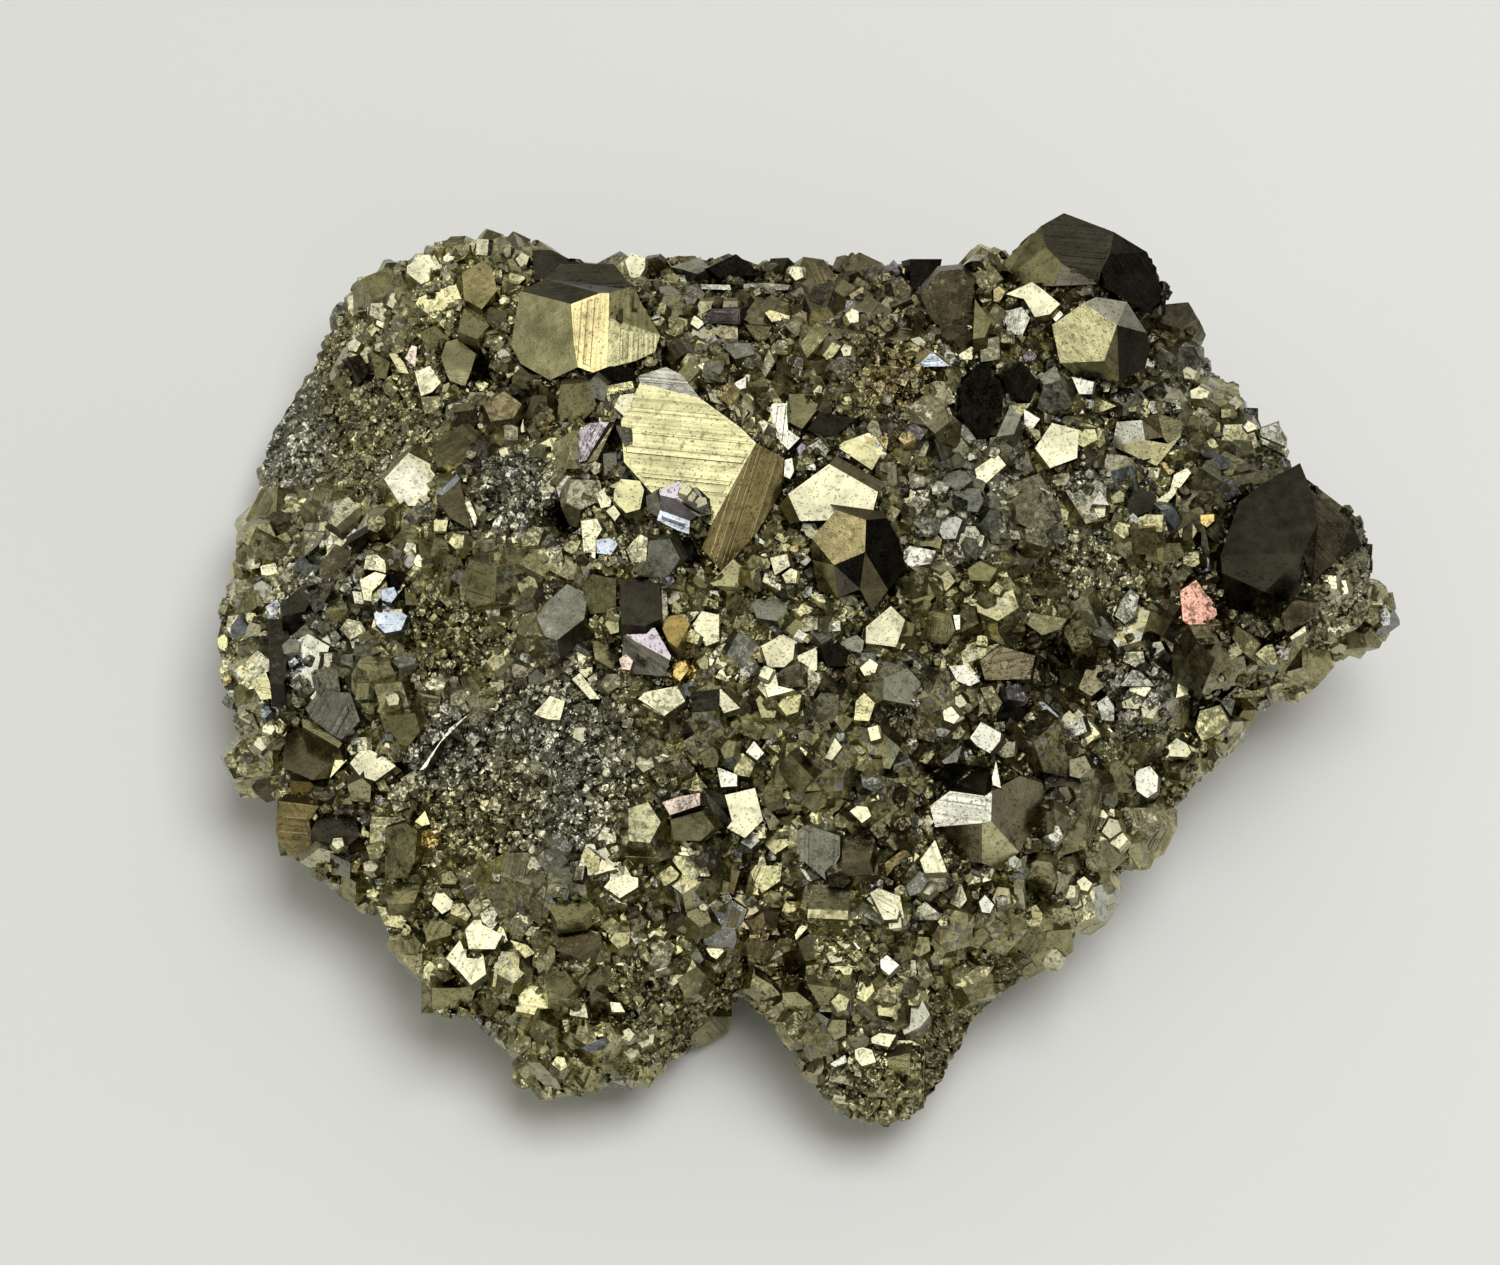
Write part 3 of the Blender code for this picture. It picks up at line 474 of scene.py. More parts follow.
    Gem(LIT, PALE, "850,811 857,806 867,807 871,816 862,823"),
    Gem(MILD, BRASS, "763,790 772,778 783,784 782,799 769,803"),
    Gem(DUSK, SILVER, "797,831 807,825 840,836 840,856 827,881 800,858", 4),
    Gem(MILD, UMBER, "842,838 870,821 875,841 870,861 842,863"),
    Gem(SOFT, BRONZE, "885,863 905,848 912,848 910,858 895,866 887,876"),
    Gem(SOFT, STEEL, "906,886 920,871 930,878 920,893 910,896"),
    Gem(LIT, PALE, "920,860 935,840 947,872 925,873", 160),
    Gem(LIT, PALE, "950,903 954,886 961,883 967,900 960,908", 15),
    Gem(EVEN, BRASS, "1024,868 1037,860 1052,863 1057,881 1047,906 1030,906"),
    Gem(EVEN, PALE, "1014,888 1023,890 1026,912 1015,912"),
    Gem(LIT, PALE, "870,893 877,889 892,894 899,910 897,919 884,920", 122),
    Gem(GLOW, SILVER, "911,912 925,902 939,913 937,920 912,920", 80),
    Gem(LIT, SILVER, "979,902 985,895 994,905 990,913 982,912"),
    Gem(LIT, PALE, "795,935 806,914 811,920 807,928 796,940"),
    Gem(LIT, SILVER, "880,960 887,955 899,965 889,975 881,968"),
    Gem(SOFT, BRASS, "955,985 977,966 992,967 985,980 962,987"),
    Gem(MILD, OLIVE, "550,910 560,900 585,898 595,907 582,918 557,922"),
    Gem(MILD, UMBER, "552,935 577,924 600,935 602,943 580,958 554,950"),
    Gem(GLOW, BRASS, "510,940 527,945 535,953 525,958", 66),
    Gem(SOFT, BRASS, "545,960 550,945 555,948 555,959 546,975"),
    Gem(DUSK, OLIVE, "550,977 565,970 577,988 567,998 545,990"),
    Gem(GLOW, PALE, "569,1010 585,1002 588,1018 570,1015"),
    Gem(LIT, PALE, "610,1002 620,1003 625,1012 612,1012"),
    Gem(EVEN, UMBER, "590,988 605,995 620,1015 617,1020 590,1018"),
    Gem(DUSK, BLUE, "581,1048 602,1038 607,1044 592,1053"),
    Gem(EVEN, PALE, "528,1062 540,1063 557,1080 562,1090 545,1086 532,1073"),
    Gem(EVEN, GOLD, "755,975 772,985 781,995 767,998"),
    Gem(EVEN, GOLD, "782,993 797,992 817,1008 807,1013 785,1007"),
    Gem(EVEN, OLIVE, "807,984 837,988 830,1005 819,1005"),
    Gem(EVEN, GOLD, "827,1030 832,1020 846,1020 846,1035 835,1040"),
    Gem(LIT, PALE, "871,1038 880,1033 896,1035 889,1047 872,1043"),
    Gem(LIT, PALE, "855,1045 872,1050 876,1062 862,1066 855,1058", 40),
    Gem(LIT, SILVER, "830,1064 845,1055 847,1062 835,1067"),
    Gem(EVEN, OLIVE, "887,1058 910,1053 910,1075 890,1075", 95),
]
# How they stand: the rise of a top over the solid, and of the brightest tops; in a crystal's
# radii, how its sides flare, how deep they go and how deep its root lies; and its lean's jitter
GEM_RISE = 0.50 * MM
GEM_RISE_BRIGHT = 1.05 * MM
GEM_FLARE = 0.16
GEM_DEPTH = 0.8
GEM_ROOT = 1.7
GEM_JITTER = 3.5
GEM_SHADES = (0.84, 1.06)
# The sides and root of a small crystal are painted darker than its top, as shade
GEM_SIDE_PAINTED_SHADES = (0.4, 0.9)
GEM_ROOT_PAINTED_SHADE = 0.4
GEM_GLOSS = (0.18, 0.26)
GEM_SIDE_GLOSS = (0.2, 0.4)

# Small bright crystals seen in the picture: pixel and width in mm
SPARKS = [
    (397, 303, 1.5), (385, 322, 1.2), (372, 312, 1.0), (355, 348, 1.0), (405, 335, 1.2),
    (449, 261, 1.0), (523, 262, 1.0), (525, 427, 1.0), (533, 440, 0.9), (505, 455, 0.9),
    (391, 543, 0.9), (405, 548, 0.8), (420, 551, 1.1), (357, 517, 0.9), (425, 500, 0.7),
    (356, 679, 1.0), (347, 684, 0.9), (393, 703, 1.1), (478, 718, 1.1), (583, 659, 0.9),
    (586, 671, 1.0), (709, 661, 0.8), (722, 664, 1.0), (742, 666, 0.6), (726, 650, 1.1),
    (725, 676, 1.1), (671, 599, 1.2), (800, 711, 1.4), (746, 732, 1.3), (802, 755, 1.2),
    (688, 850, 1.3), (666, 756, 1.1), (583, 735, 1.2), (535, 866, 1.1), (911, 763, 1.2),
    (913, 740, 0.9), (875, 735, 1.0), (869, 668, 1.2), (961, 704, 1.3), (951, 719, 1.3),
    (918, 826, 1.3), (863, 892, 1.2), (928, 888, 1.3), (985, 874, 1.2), (895, 925, 1.0),
    (947, 957, 1.2), (916, 962, 1.1), (1053, 958, 1.3), (908, 1037, 0.8), (712, 900, 1.2),
    (705, 906, 0.9), (608, 935, 0.8), (650, 934, 0.8), (540, 935, 1.1), (660, 965, 1.3),
    (672, 980, 1.1), (645, 1040, 1.4), (632, 1052, 1.2), (627, 1036, 1.0), (652, 1028, 0.9),
    (1106, 735, 1.3), (1180, 690, 1.4), (1142, 690, 1.6), (1130, 705, 1.4), (1150, 712, 1.2),
    (1172, 610, 0.9), (1126, 470, 1.2), (1156, 481, 1.4), (1102, 512, 1.1), (1250, 428, 0.9),
    (1236, 406, 1.0), (1213, 372, 1.0), (1200, 398, 1.2), (1190, 375, 1.0), (1058, 316, 0.9),
    (1104, 385, 1.4), (917, 345, 1.2), (855, 318, 1.2), (848, 352, 0.9), (905, 461, 1.1),
    (909, 498, 1.1), (797, 276, 1.2), (798, 534, 1.2), (811, 530, 1.2), (760, 430, 1.2),
    (697, 324, 1.0), (702, 372, 1.1), (1331, 585, 1.2), (1320, 600, 1.1), (1342, 590, 1.1),
    (1327, 612, 0.9), (1112, 830, 1.4), (1120, 842, 1.2), (1100, 820, 1.1), (1070, 893, 1.2),
    (1085, 885, 1.1), (1075, 903, 1.0), (690, 497, 1.0), (700, 505, 0.9), (685, 492, 0.9),
    (768, 675, 1.0), (255, 566, 1.0), (228, 665, 1.0), (250, 718, 1.1), (262, 745, 1.1),
    (270, 730, 0.9), (372, 867, 1.0), (340, 845, 1.0), (1225, 1000, 0.5), (845, 945, 1.1),
    (835, 958, 1.1), (860, 942, 1.0), (850, 965, 1.0), (715, 950, 1.2), (725, 960, 1.0),
]

# The rise of their middles over the seat, as a share of the width over half sunk, and the jitter
# of their leans (degrees)
SPARK_RISE = 0.22
SPARK_JITTER = 9
SPARK_SHADES = (0.85, 1.0)

# Large crystals set by the corners the picture shows. A facet is a run of corners, its lean right
# and up (degrees), its colour, and the bearing of its ledges or None. The first facet lies on the
# sight line of the seat, raised by some mm, and each later one shares two corners with those
# before it.
Facet = namedtuple("Facet", "corners right up colour ledges", defaults=(None,))
Large = namedtuple("Large", "seat rise corners facets")
LARGE = [
    # The largest crystal, left of the middle
    Large((690, 445), 0.5, [
        (621, 421), (640, 383), (700, 398), (741, 428), (756, 443), (711, 525), (658, 500),
        (624, 462), (638, 376), (666, 367), (682, 375), (784, 458), (781, 492), (757, 532),
        (722, 572), (702, 548),
    ], [
        Facet((0, 1, 2, 3, 4, 5, 6, 7), -5, 15, GOLD, 97),
        Facet((1, 8, 9, 10, 2), -12, 34, SILVER, 97),
        Facet((5, 4, 11, 12, 13, 14, 15), 31, 6, BRONZE, 20),
    ]),
    # The crystal at the top left
    Large((592, 335), 0.5, [
        (520, 291), (571, 304), (574, 345), (578, 367), (550, 380), (521, 364), (511, 345),
        (600, 293), (609, 293), (609, 318), (607, 368), (594, 373), (632, 287), (660, 335),
        (625, 331), (655, 352), (635, 361), (545, 279), (560, 264), (614, 264), (626, 279),
    ], [
        Facet((1, 7, 8, 9, 10, 11, 3, 2), -5, 14, ORANGE_GOLD, 3),
        Facet((0, 1, 2, 3, 4, 5, 6), -26, 8, GOLD),
        Facet((9, 14, 13, 15, 16, 10), 9, 14, GOLD, 4),
        Facet((8, 12, 13, 14, 9), 24, 42, OLIVE, 8),
        Facet((0, 17, 18, 19, 20, 12, 8, 7, 1), -4, 46, SOOT, 95),
    ]),
    # The pentagon to the right of the largest, and the crystal below it
    Large((830, 493), 0.6, [
        (788, 494), (829, 464), (878, 492), (871, 519), (800, 521), (836, 456), (887, 484),
        (790, 524), (779, 506),
    ], [
        Facet((0, 1, 2, 3, 4), -5, 15, PALE),
        Facet((1, 5, 6, 2), 12, 52, UMBER),
        Facet((0, 4, 7, 8), -40, -8, GOLD),
    ]),
    Large((842, 538), 1.3, [
        (836, 510), (866, 520), (865, 552), (834, 565), (812, 538), (887, 518), (899, 540),
        (906, 567), (888, 590), (872, 612), (860, 589), (838, 598), (818, 590), (812, 560),
        (830, 504), (882, 511),
    ], [
        Facet((0, 1, 2, 3, 4), -22, 6, ORANGE_GOLD),
        Facet((1, 5, 6, 7, 8, 2), 26, 14, INK, 160),
        Facet((0, 14, 15, 5, 1), 4, 56, UMBER),
        Facet((2, 8, 9, 10), 30, -32, UMBER),
        Facet((3, 2, 10, 11), -4, -24, INK),
        Facet((4, 3, 11, 12, 13), -40, -30, OLIVE),
    ]),
    # The crystal below the back right corner
    Large((1083, 335), 0.6, [
        (1052, 325), (1084, 303), (1117, 325), (1104, 361), (1060, 363), (1119, 381),
        (1076, 376), (1147, 333), (1150, 350), (1145, 368), (1096, 297), (1127, 302),
    ], [
        Facet((0, 1, 2, 3, 4), -20, 6, GOLD),
        Facet((4, 3, 5, 6), 3, -24, GOLD),
        Facet((2, 5, 3), 34, -22, UMBER),
        Facet((2, 7, 8, 9, 5), 30, 10, INK),
        Facet((1, 10, 11, 7, 2), 14, 34, SILVER),
    ]),
    # The crystal with a pit, and the pale one left of it
    Large((1140, 450), 0.7, [
        (1117, 422), (1142, 420), (1145, 440), (1112, 446), (1168, 444), (1181, 436),
        (1157, 466), (1158, 413), (1183, 422), (1163, 437),
    ], [
        Facet((2, 4, 5, 6, 3), -20, 6, GOLD),
        Facet((7, 8, 5, 4, 9), -16, 2, BRASS),
        Facet((0, 1, 2, 3), -23, 10, STEEL),
        Facet((1, 7, 9, 2), 10, 34, UMBER),
    ]),
    Large((1056, 445), 0.5, [
        (1052, 423), (1079, 430), (1077, 458), (1050, 468), (1035, 448), (1040, 470),
        (1026, 448),
    ], [
        Facet((0, 1, 2, 3, 4), -5, 15, PALE),
        Facet((4, 3, 5, 6), -40, -20, OLIVE),
    ]),
    # The dark crystals at the back right corner
    Large((1078, 246), 0.8, [
        (1041, 226), (1064, 213), (1114, 232), (1110, 254), (1101, 271), (1062, 264),
        (1046, 247), (1003, 262), (1000, 283), (1052, 286), (1098, 284), (1147, 252),
        (1159, 281), (1160, 302), (1146, 312), (1106, 288),
    ], [
        Facet((0, 1, 2, 3, 4, 5, 6), -6, 44, SOOT, 108),
        Facet((7, 0, 6, 5, 9, 8), -30, 20, OLIVE),
        Facet((5, 4, 10, 9), -6, -16, SOOT, 95),
        Facet((2, 11, 12, 13, 14, 15, 4, 3), 40, 40, SOOT, 150),
    ]),
    # The large dark crystal at the right end
    Large((1270, 520), 1.0, [
        (1221, 555), (1239, 502), (1262, 484), (1300, 463), (1311, 490), (1318, 522),
        (1303, 554), (1277, 554), (1265, 592), (1222, 573), (1305, 590), (1288, 601),
        (1268, 624), (1226, 608), (1352, 522), (1362, 546), (1335, 560), (1313, 582),
    ], [
        Facet((0, 1, 2, 3, 4, 5, 6, 7), 4, 38, SOOT),
        Facet((0, 7, 8, 9), -24, -8, SOOT),
        Facet((7, 6, 10, 11, 8), 24, -12, SOOT),
        Facet((9, 8, 11, 12, 13), 4, -30, SOOT, 60),
        Facet((4, 14, 15, 16, 17, 6, 5), 38, 26, UMBER, 120),
    ]),
    # Smaller ones further down
    Large((743, 812), 0.5, [
        (725, 795), (755, 788), (763, 820), (745, 838), (727, 828), (732, 821), (702, 788),
        (702, 811), (722, 833),
    ], [
        Facet((0, 1, 2, 3, 4, 5), -5, 15, PALE),
        Facet((0, 5, 4, 8, 7, 6), -30, 20, SOOT),
    ]),
    Large((962, 808), 0.6, [
        (930, 806), (950, 791), (985, 796), (992, 791), (991, 821), (982, 823), (935, 827),
        (982, 863), (962, 861), (945, 841), (1019, 852), (1001, 871), (1020, 776), (1042, 783),
        (1045, 798), (1030, 838), (920, 766), (960, 763), (990, 768),
    ], [
        Facet((0, 1, 2, 3, 4, 5, 6), -20, 9, SILVER, 100),
        Facet((6, 5, 7, 8, 9), -12, -40, UMBER),
        Facet((5, 4, 10, 11, 7), 24, -30, GOLD),
        Facet((4, 3, 12, 13, 14, 15, 10), 32, 20, UMBER),
        Facet((1, 16, 17, 18, 3, 2), -4, 54, SOOT),
    ]),
    Large((308, 755), 0.5, [
        (286, 736), (300, 725), (316, 730), (335, 760), (312, 780), (282, 767), (338, 752),
        (347, 760), (330, 778),
    ], [
        Facet((0, 1, 2, 3, 4, 5), -8, 44, UMBER),
        Facet((2, 6, 7, 3), -8, 44, GOLD),
        Facet((3, 7, 8, 4), 30, -20, GOLD),
    ]),
    # The pentagon at the top left
    Large((458, 355), 0.6, [
        (446, 342), (457, 339), (476, 354), (471, 371), (445, 369), (441, 357), (465, 386),
        (450, 381), (491, 353), (490, 377), (480, 382),
    ], [
        Facet((0, 1, 2, 3, 4, 5), -10, 40, BRASS),
        Facet((4, 3, 6, 7), 0, 1, GOLD),
        Facet((2, 8, 9, 10, 3), 40, 20, SOOT),
    ]),
    # The two iridescent crystals in front of the largest
    Large((672, 495), 0.6, [
        (659, 490), (679, 481), (684, 489), (677, 499), (660, 495), (697, 516), (690, 521),
        (660, 510), (689, 534), (677, 530), (657, 520), (697, 487), (710, 499), (711, 514),
    ], [
        Facet((0, 1, 2, 3, 4), -19, 12, VIOLET),
        Facet((4, 3, 5, 6, 7), -12, -18, VIOLET),
        Facet((7, 6, 8, 9, 10), -15, 8, BLUE, 110),
        Facet((2, 11, 12, 13, 5, 3), 24, 20, STEEL, 120),
    ]),
    Large((648, 650), 0.6, [
        (624, 633), (637, 628), (655, 628), (671, 656), (670, 660), (635, 641), (665, 676),
        (635, 674), (622, 656),
    ], [
        Facet((0, 1, 2, 3, 4, 5), -19, 12, VIOLET),
        Facet((0, 5, 4, 6, 7, 8), -12, -18, SILVER, 117),
    ]),
]
LARGE_SHADES = (0.95, 1.05)
LARGE_GLOSS = 0.22
ROOT_DEPTH = 0.9
ROOT_LEVEL = 0.4 * MM

# The solid's own surface is pressed back behind the crystals set by corners: how far around the
# large and the small ones, how far under and beside them, how finely it is divided there, the
# least press, and how far behind the first surface seen it is left alone
PRESS_MARGIN = 2.2 * MM
FACED_MARGIN = 0.1 * MM
PRESS_UNDER = 0.35 * MM
PRESS_AROUND = 0.7 * MM
PRESS_STEP = 1.0 * MM
PRESS_LEAST = 0.01 * MM
PRESS_BEHIND = 1.5 * MM

# Growth ledges on the larger faces: the least face, the ledges' sizes, where they start and
# finish across it, the room left at their ends, how often an end is held back by a share of the
# face's width, and how a ledge's top tilts and its sides slope
LEDGE_FACE = 2.5 * MM * MM
LEDGE_WIDTH = (0.22 * MM, 0.9 * MM)
LEDGE_HEIGHT = (0.010 * MM, 0.070 * MM)
LEDGE_LENGTH = 0.4 * MM
LEDGE_START = 0.1 * MM
LEDGE_FINISH = 0.2 * MM
LEDGE_END = (0.08 * MM, 0.5 * MM)
LEDGE_SHORT = 0.3
LEDGE_SHORTENING = (0, 0.5)
LEDGE_TILT = (0.5, 1.0)
LEDGE_SLOPE = 1.2
LEDGE_SUNK = 0.02 * MM
LEDGE_SHARE = 0.62
LEDGE_SHADES = (0.85, 1.08)
# The four sides of a ledge are painted darker than its top, as shade
LEDGE_SIDE_PAINTED_SHADE = 0.6
LEDGE_GLOSS = (0.16, 0.28)

# How a ledge's top is inset at its four corners, and its faces: bottom, top and four sides
LEDGE_INSETS = np.array([(1, 1), (-1, 1), (-1, -1), (1, -1)])
LEDGE_LOOPS = np.array(
    [3, 2, 1, 0, 4, 5, 6, 7, 0, 1, 5, 4, 1, 2, 6, 5, 2, 3, 7, 6, 3, 0, 4, 7]
)

# Patterns on every face: noise scale (a metre) and detail, the range that is read if not all of
# it, and how the pattern changes the shade and the roughness, each as a factor and an offset
Pattern = namedtuple("Pattern", "scale detail range shade rough")
PATTERNS = {
    "cloud": Pattern(900, 4, None, (0.9, 0.5), (0.3, -0.15)),
    "ages": Pattern(330, 3, (0.35, 0.70), (0.4, 0.72), None),
    "stains": Pattern(1900, 5, (0.57, 0.66), (-0.35, 1.0), (0.12, 0)),
    # The pits are bumped inward by the bumps below, and their darker colour is painted shade
    "pits": Pattern(5200, 2, (0.60, 0.68), (-0.5, 1.0), (0.25, 0)),
}
STRIAE_SCALE = 3000
STRIAE_DETAIL = 3
STRIAE_SHADE = (1.1, 0.45)

# The grains of gritty faces: their number in a metre and how far they tilt, how unlike their
# shades are, and how dark the shade painted in the seams between them is
GRAIN_CELLS = [(2300, 0.9), (5200, 0.7)]
GRAIN_CONTRAST = 1.1
SEAM_RANGE = (0.4, 0.8)
SEAM_PAINTED_SHADE = -0.4
CELL_MIDDLE = (0.5, 0.5, 0.5)

# Bumps, one over another: the pattern that raises them, strength, height, whether they go inward
BUMPS = [
    ("striae", 0.3, 0.03 * MM, False),
    ("pits", 0.3, 0.02 * MM, True),
    ("cloud", 0.45, 0.06 * MM, False),
]

# The studio: a softbox that only glossy surfaces mirror, and a lamp that lights only the table
LIGHT_TO = Vector((-0.16, 0.06, 0.985))
LIGHT_DISTANCE = 0.75
LIGHT_SIZE = 0.78
LIGHT_RADIANCE = 1.75
TABLE_LIGHT_TO = Vector((0.24, 0.0, 0.97))
TABLE_LIGHT_SIZE = 0.48
TABLE_LIGHT_RADIANCE = 4.9
ROOM_DARK = (0.026, 0.026, 0.022, 1)
ROOM_PALE = (0.74, 0.73, 0.64, 1)
ROOM_SCALE = 1.8
ROOM_DETAIL = 1
ROOM_RANGE = (0.38, 0.64)
FLOOR_COLOUR = (0.86, 0.86, 0.86, 1)
FLOOR_ROUGHNESS = 0.85
FLOOR_SIZE = 4.0
CLIP = (0.01, 10)


def on_picture(u, v):
    """The point of the picture plane that shows pixel (u, v)."""
    right = (u - PICTURE_CENTRE[0]) * MM_PER_PIXEL * MM
    up = (PICTURE_CENTRE[1] - v) * MM_PER_PIXEL * MM
    return SIGHT_CENTRE + PICTURE_RIGHT * right + PICTURE_UP * up


def sight(solids, u, v):
    """Where the sight line of pixel (u, v) first meets one of the solids, or comes nearest."""
    ray = (on_picture(u, v) - EYE).normalized()
    hits = [solid.ray_cast(EYE, ray) for solid in solids]
    hits = [hit for hit in hits if hit[0] is not None]
    if not hits:
        return solids[0].find_nearest(on_picture(u, v))[0]
    return min(hits, key=lambda hit: hit[3])[0]


def on_plane(pixel, point, normal):
    """Where the sight line of a pixel meets a plane."""
    ray = on_picture(*pixel) - EYE
    return EYE + ray * ((point - EYE).dot(normal) / ray.dot(normal))


def pixels(points):
    """The pixels that show an array of points."""
    rays = points - np.array(EYE)
    scale = EYE_DISTANCE / -(rays @ np.array(TO_EYE))
    plane = rays * scale[:, None] + np.array(EYE - SIGHT_CENTRE)
    u = PICTURE_CENTRE[0] + plane @ np.array(PICTURE_RIGHT) / (MM_PER_PIXEL * MM)
    v = PICTURE_CENTRE[1] - plane @ np.array(PICTURE_UP) / (MM_PER_PIXEL * MM)
    return np.stack([u, v], axis=1)


def leaning(right, up, pixel=PICTURE_CENTRE):
    """The direction that leans right and up from facing the eye, in degrees.

    It mirrors the same part of the studio to the eye at any pixel.
    """
    right -= LEAN_DRIFT * (pixel[0] - PICTURE_CENTRE[0])
    up -= LEAN_DRIFT * (PICTURE_CENTRE[1] - pixel[1])
    normal = TO_EYE + PICTURE_RIGHT * math.tan(math.radians(right))
    return (normal + PICTURE_UP * math.tan(math.radians(up))).normalized()


def bearing_on(normal, bearing):
    """The direction in a face that the picture shows at a bearing, clockwise from up."""
    bearing = math.radians(bearing)
    along = PICTURE_UP * math.cos(bearing) + PICTURE_RIGHT * math.sin(bearing)
    return (along - normal * along.dot(normal)).normalized()


def nearness(places, patch):
    """How near each pixel of an array is to a patch: 1 at its middle, fading to 0 around it."""
    away = np.hypot(places[:, 0] - patch.u, places[:, 1] - patch.v) * MM_PER_PIXEL
    return np.exp(-((away / patch.radius) ** 4))


def within(patches, points):
    """How near each point of an array is to the nearest of some patches."""
    places = pixels(points)
    return np.max([nearness(places, patch) for patch in patches], axis=0)


def tarnish_and_hollow_shade(points, rng):
    """A colour for each of an array of places, by what grows there, with shade painted dark in the
    hollows.
    """
    places = pixels(points)
    palette = np.array([colour for colour, _ in TARNISH])
    shares = [share for _, share in TARNISH]
    colours = palette[rng.choice(len(palette), len(points), p=shares)]
    colours = colours * rng.uniform(*TARNISH_SHADES, (len(points), 1))
    # The hollows' dark colours are painted shade; the other patches are tarnish
    for patches, most in ((TINTS + GRAINY + BARE + HOLLOWS, TINT_SHARE), (STAINS, 1)):
        for patch in patches:
            share = most * nearness(places, patch)[:, None]
            colours = colours * (1 - share) + np.array(patch.colour) * share
    return colours


def sides_of(outline):
    """The sides of an outline, as pairs of corners."""
    return zip(outline, np.roll(outline, -1, axis=0))


def covered(places, outlines):
    """Whether each pixel of an array lies inside any of the outlines."""
    inside = np.zeros(len(places), bool)
    for outline in outlines:
        enclosed = np.zeros(len(places), bool)
        for (x0, y0), (x1, y1) in sides_of(outline):
            if y0 == y1:
                continue
            crosses = (y0 > places[:, 1]) != (y1 > places[:, 1])
            left = places[:, 0] < x0 + (x1 - x0) * (places[:, 1] - y0) / (y1 - y0)
            enclosed ^= crosses & left
        inside |= enclosed
    return inside


def crowded(places, widths, outlines):
    """Whether a crystal of each width at each pixel of an array would hide part of an outline."""
    reach = OVERLAP * widths / MM / MM_PER_PIXEL
    crowd = covered(places, outlines)
    for outline in outlines:
        low, high = outline.min(axis=0), outline.max(axis=0)
        close = ((places > low - reach[:, None]) & (places < high + reach[:, None])).all(axis=1)
        near = np.flatnonzero(close & ~crowd)
        for start, end in sides_of(outline):
            side = end - start
            along = ((places[near] - start) @ side / (side @ side)).clip(0, 1)
            gap = np.linalg.norm(places[near] - start - along[:, None] * side, axis=1)
            crowd[near[gap < reach[near]]] = True
    return crowd


def tree_of(points):
    """A search tree over some points, which gives their numbers."""
    tree = kdtree.KDTree(len(points))
    for number, point in enumerate(points):
        tree.insert(point, number)
    tree.balance()
    return tree


def mesh_arrays(bm):
    """Corners, the faces' corner numbers in one row, and how many of them each face has."""
    bm.verts.index_update()
    verts = np.array([vert.co for vert in bm.verts])
    loops = np.array([vert.index for face in bm.faces for vert in face.verts])
    sizes = np.array([len(face.verts) for face in bm.faces])
    return verts, loops, sizes


class Heap:
    """Closed solids gathered into one mesh, with a colour, a gloss and a grain on each face."""

    def __init__(self):
        self.solids = []
        self.count = 0

    def add(self, verts, loops, sizes, tint, gloss, grain):
        """Adds a solid, or many, as arrays like those of mesh_arrays and a value for each face."""
        self.solids.append((verts, loops + self.count, sizes, tint, gloss, grain))
        self.count += len(verts)

    def build(self, name, grit=0.0):
        """Makes the piece, grittier where its faces are in a grainy patch."""
        verts, loops, sizes, tint, gloss, grain = map(np.concatenate, zip(*self.solids))
        verts = verts.astype(np.float32)
        starts = np.cumsum(sizes) - sizes
        mesh = bpy.data.meshes.new(name)
        mesh.vertices.add(len(verts))
        mesh.vertices.foreach_set("co", verts.ravel())
        mesh.loops.add(len(loops))
        mesh.loops.foreach_set("vertex_index", loops.astype(np.int32))
        mesh.polygons.add(len(sizes))
        mesh.polygons.foreach_set("loop_start", starts.astype(np.int32))
        mesh.update(calc_edges=True)
        mesh.shade_flat()
        grainy = within(GRAINY, verts[loops[starts]])
        dress(mesh, tint, gloss, grain, grit * (1 + GRAINY_GRIT * grainy))
        return show(name, mesh)


def dress(mesh, tint, gloss, grain, grit):
    """Writes the colour, gloss, grain and grit of each face, which the material reads."""
    rows = [
        ("tint", "FLOAT_COLOR", "color", np.column_stack([tint, np.ones(len(tint))])),
        ("gloss", "FLOAT", "value", gloss),
        ("grit", "FLOAT", "value", grit),
        ("grain", "FLOAT_VECTOR", "vector", grain),
    ]
    for name, kind, field, values in rows:
        values = np.asarray(values, dtype=np.float32).ravel()
        mesh.attributes.new(name, kind, "FACE").data.foreach_set(field, values)


def show(name, mesh):
    """Puts a piece in the scene, on the specimen's body."""
    obj = bpy.data.objects.new(name, mesh)
    bpy.context.scene.collection.objects.link(obj)
    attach(obj, BODY)
    return obj


# The skin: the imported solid's own surface


def whole_faces(node):
    """The solid's surface, welded and with its flat faces whole again."""
    bm = bmesh.new()
    bm.from_mesh(node.data)
    bmesh.ops.remove_doubles(bm, verts=bm.verts, dist=WELD)
    bmesh.ops.dissolve_limit(bm, angle_limit=FLAT_ANGLE, verts=bm.verts, edges=bm.edges)
    bm.normal_update()
    return bm


def is_crystal(face):
    """Whether a face meets another of its own crystal."""
    angles = [edge.calc_face_angle_signed(0) for edge in face.edges]
    return any(abs(a - known) < ANGLE_TOLERANCE for a in angles for known in CRYSTAL_ANGLES)


def tag_faces(bm):
    """Marks each face as a crystal's, as massive rock or as the underside."""
    kind = bm.faces.layers.int.new("kind")
    centres = np.array([face.calc_center_median() for face in bm.faces])
    for face, worn in zip(bm.faces, within(WORN, centres)):
        if all(vert.co.z < UNDERSIDE_LEVEL for vert in face.verts):
            face[kind] = UNDERSIDE
        elif worn <= WORN_LIMIT and is_crystal(face):
            face[kind] = CRYSTAL
        else:
            face[kind] = ROCK


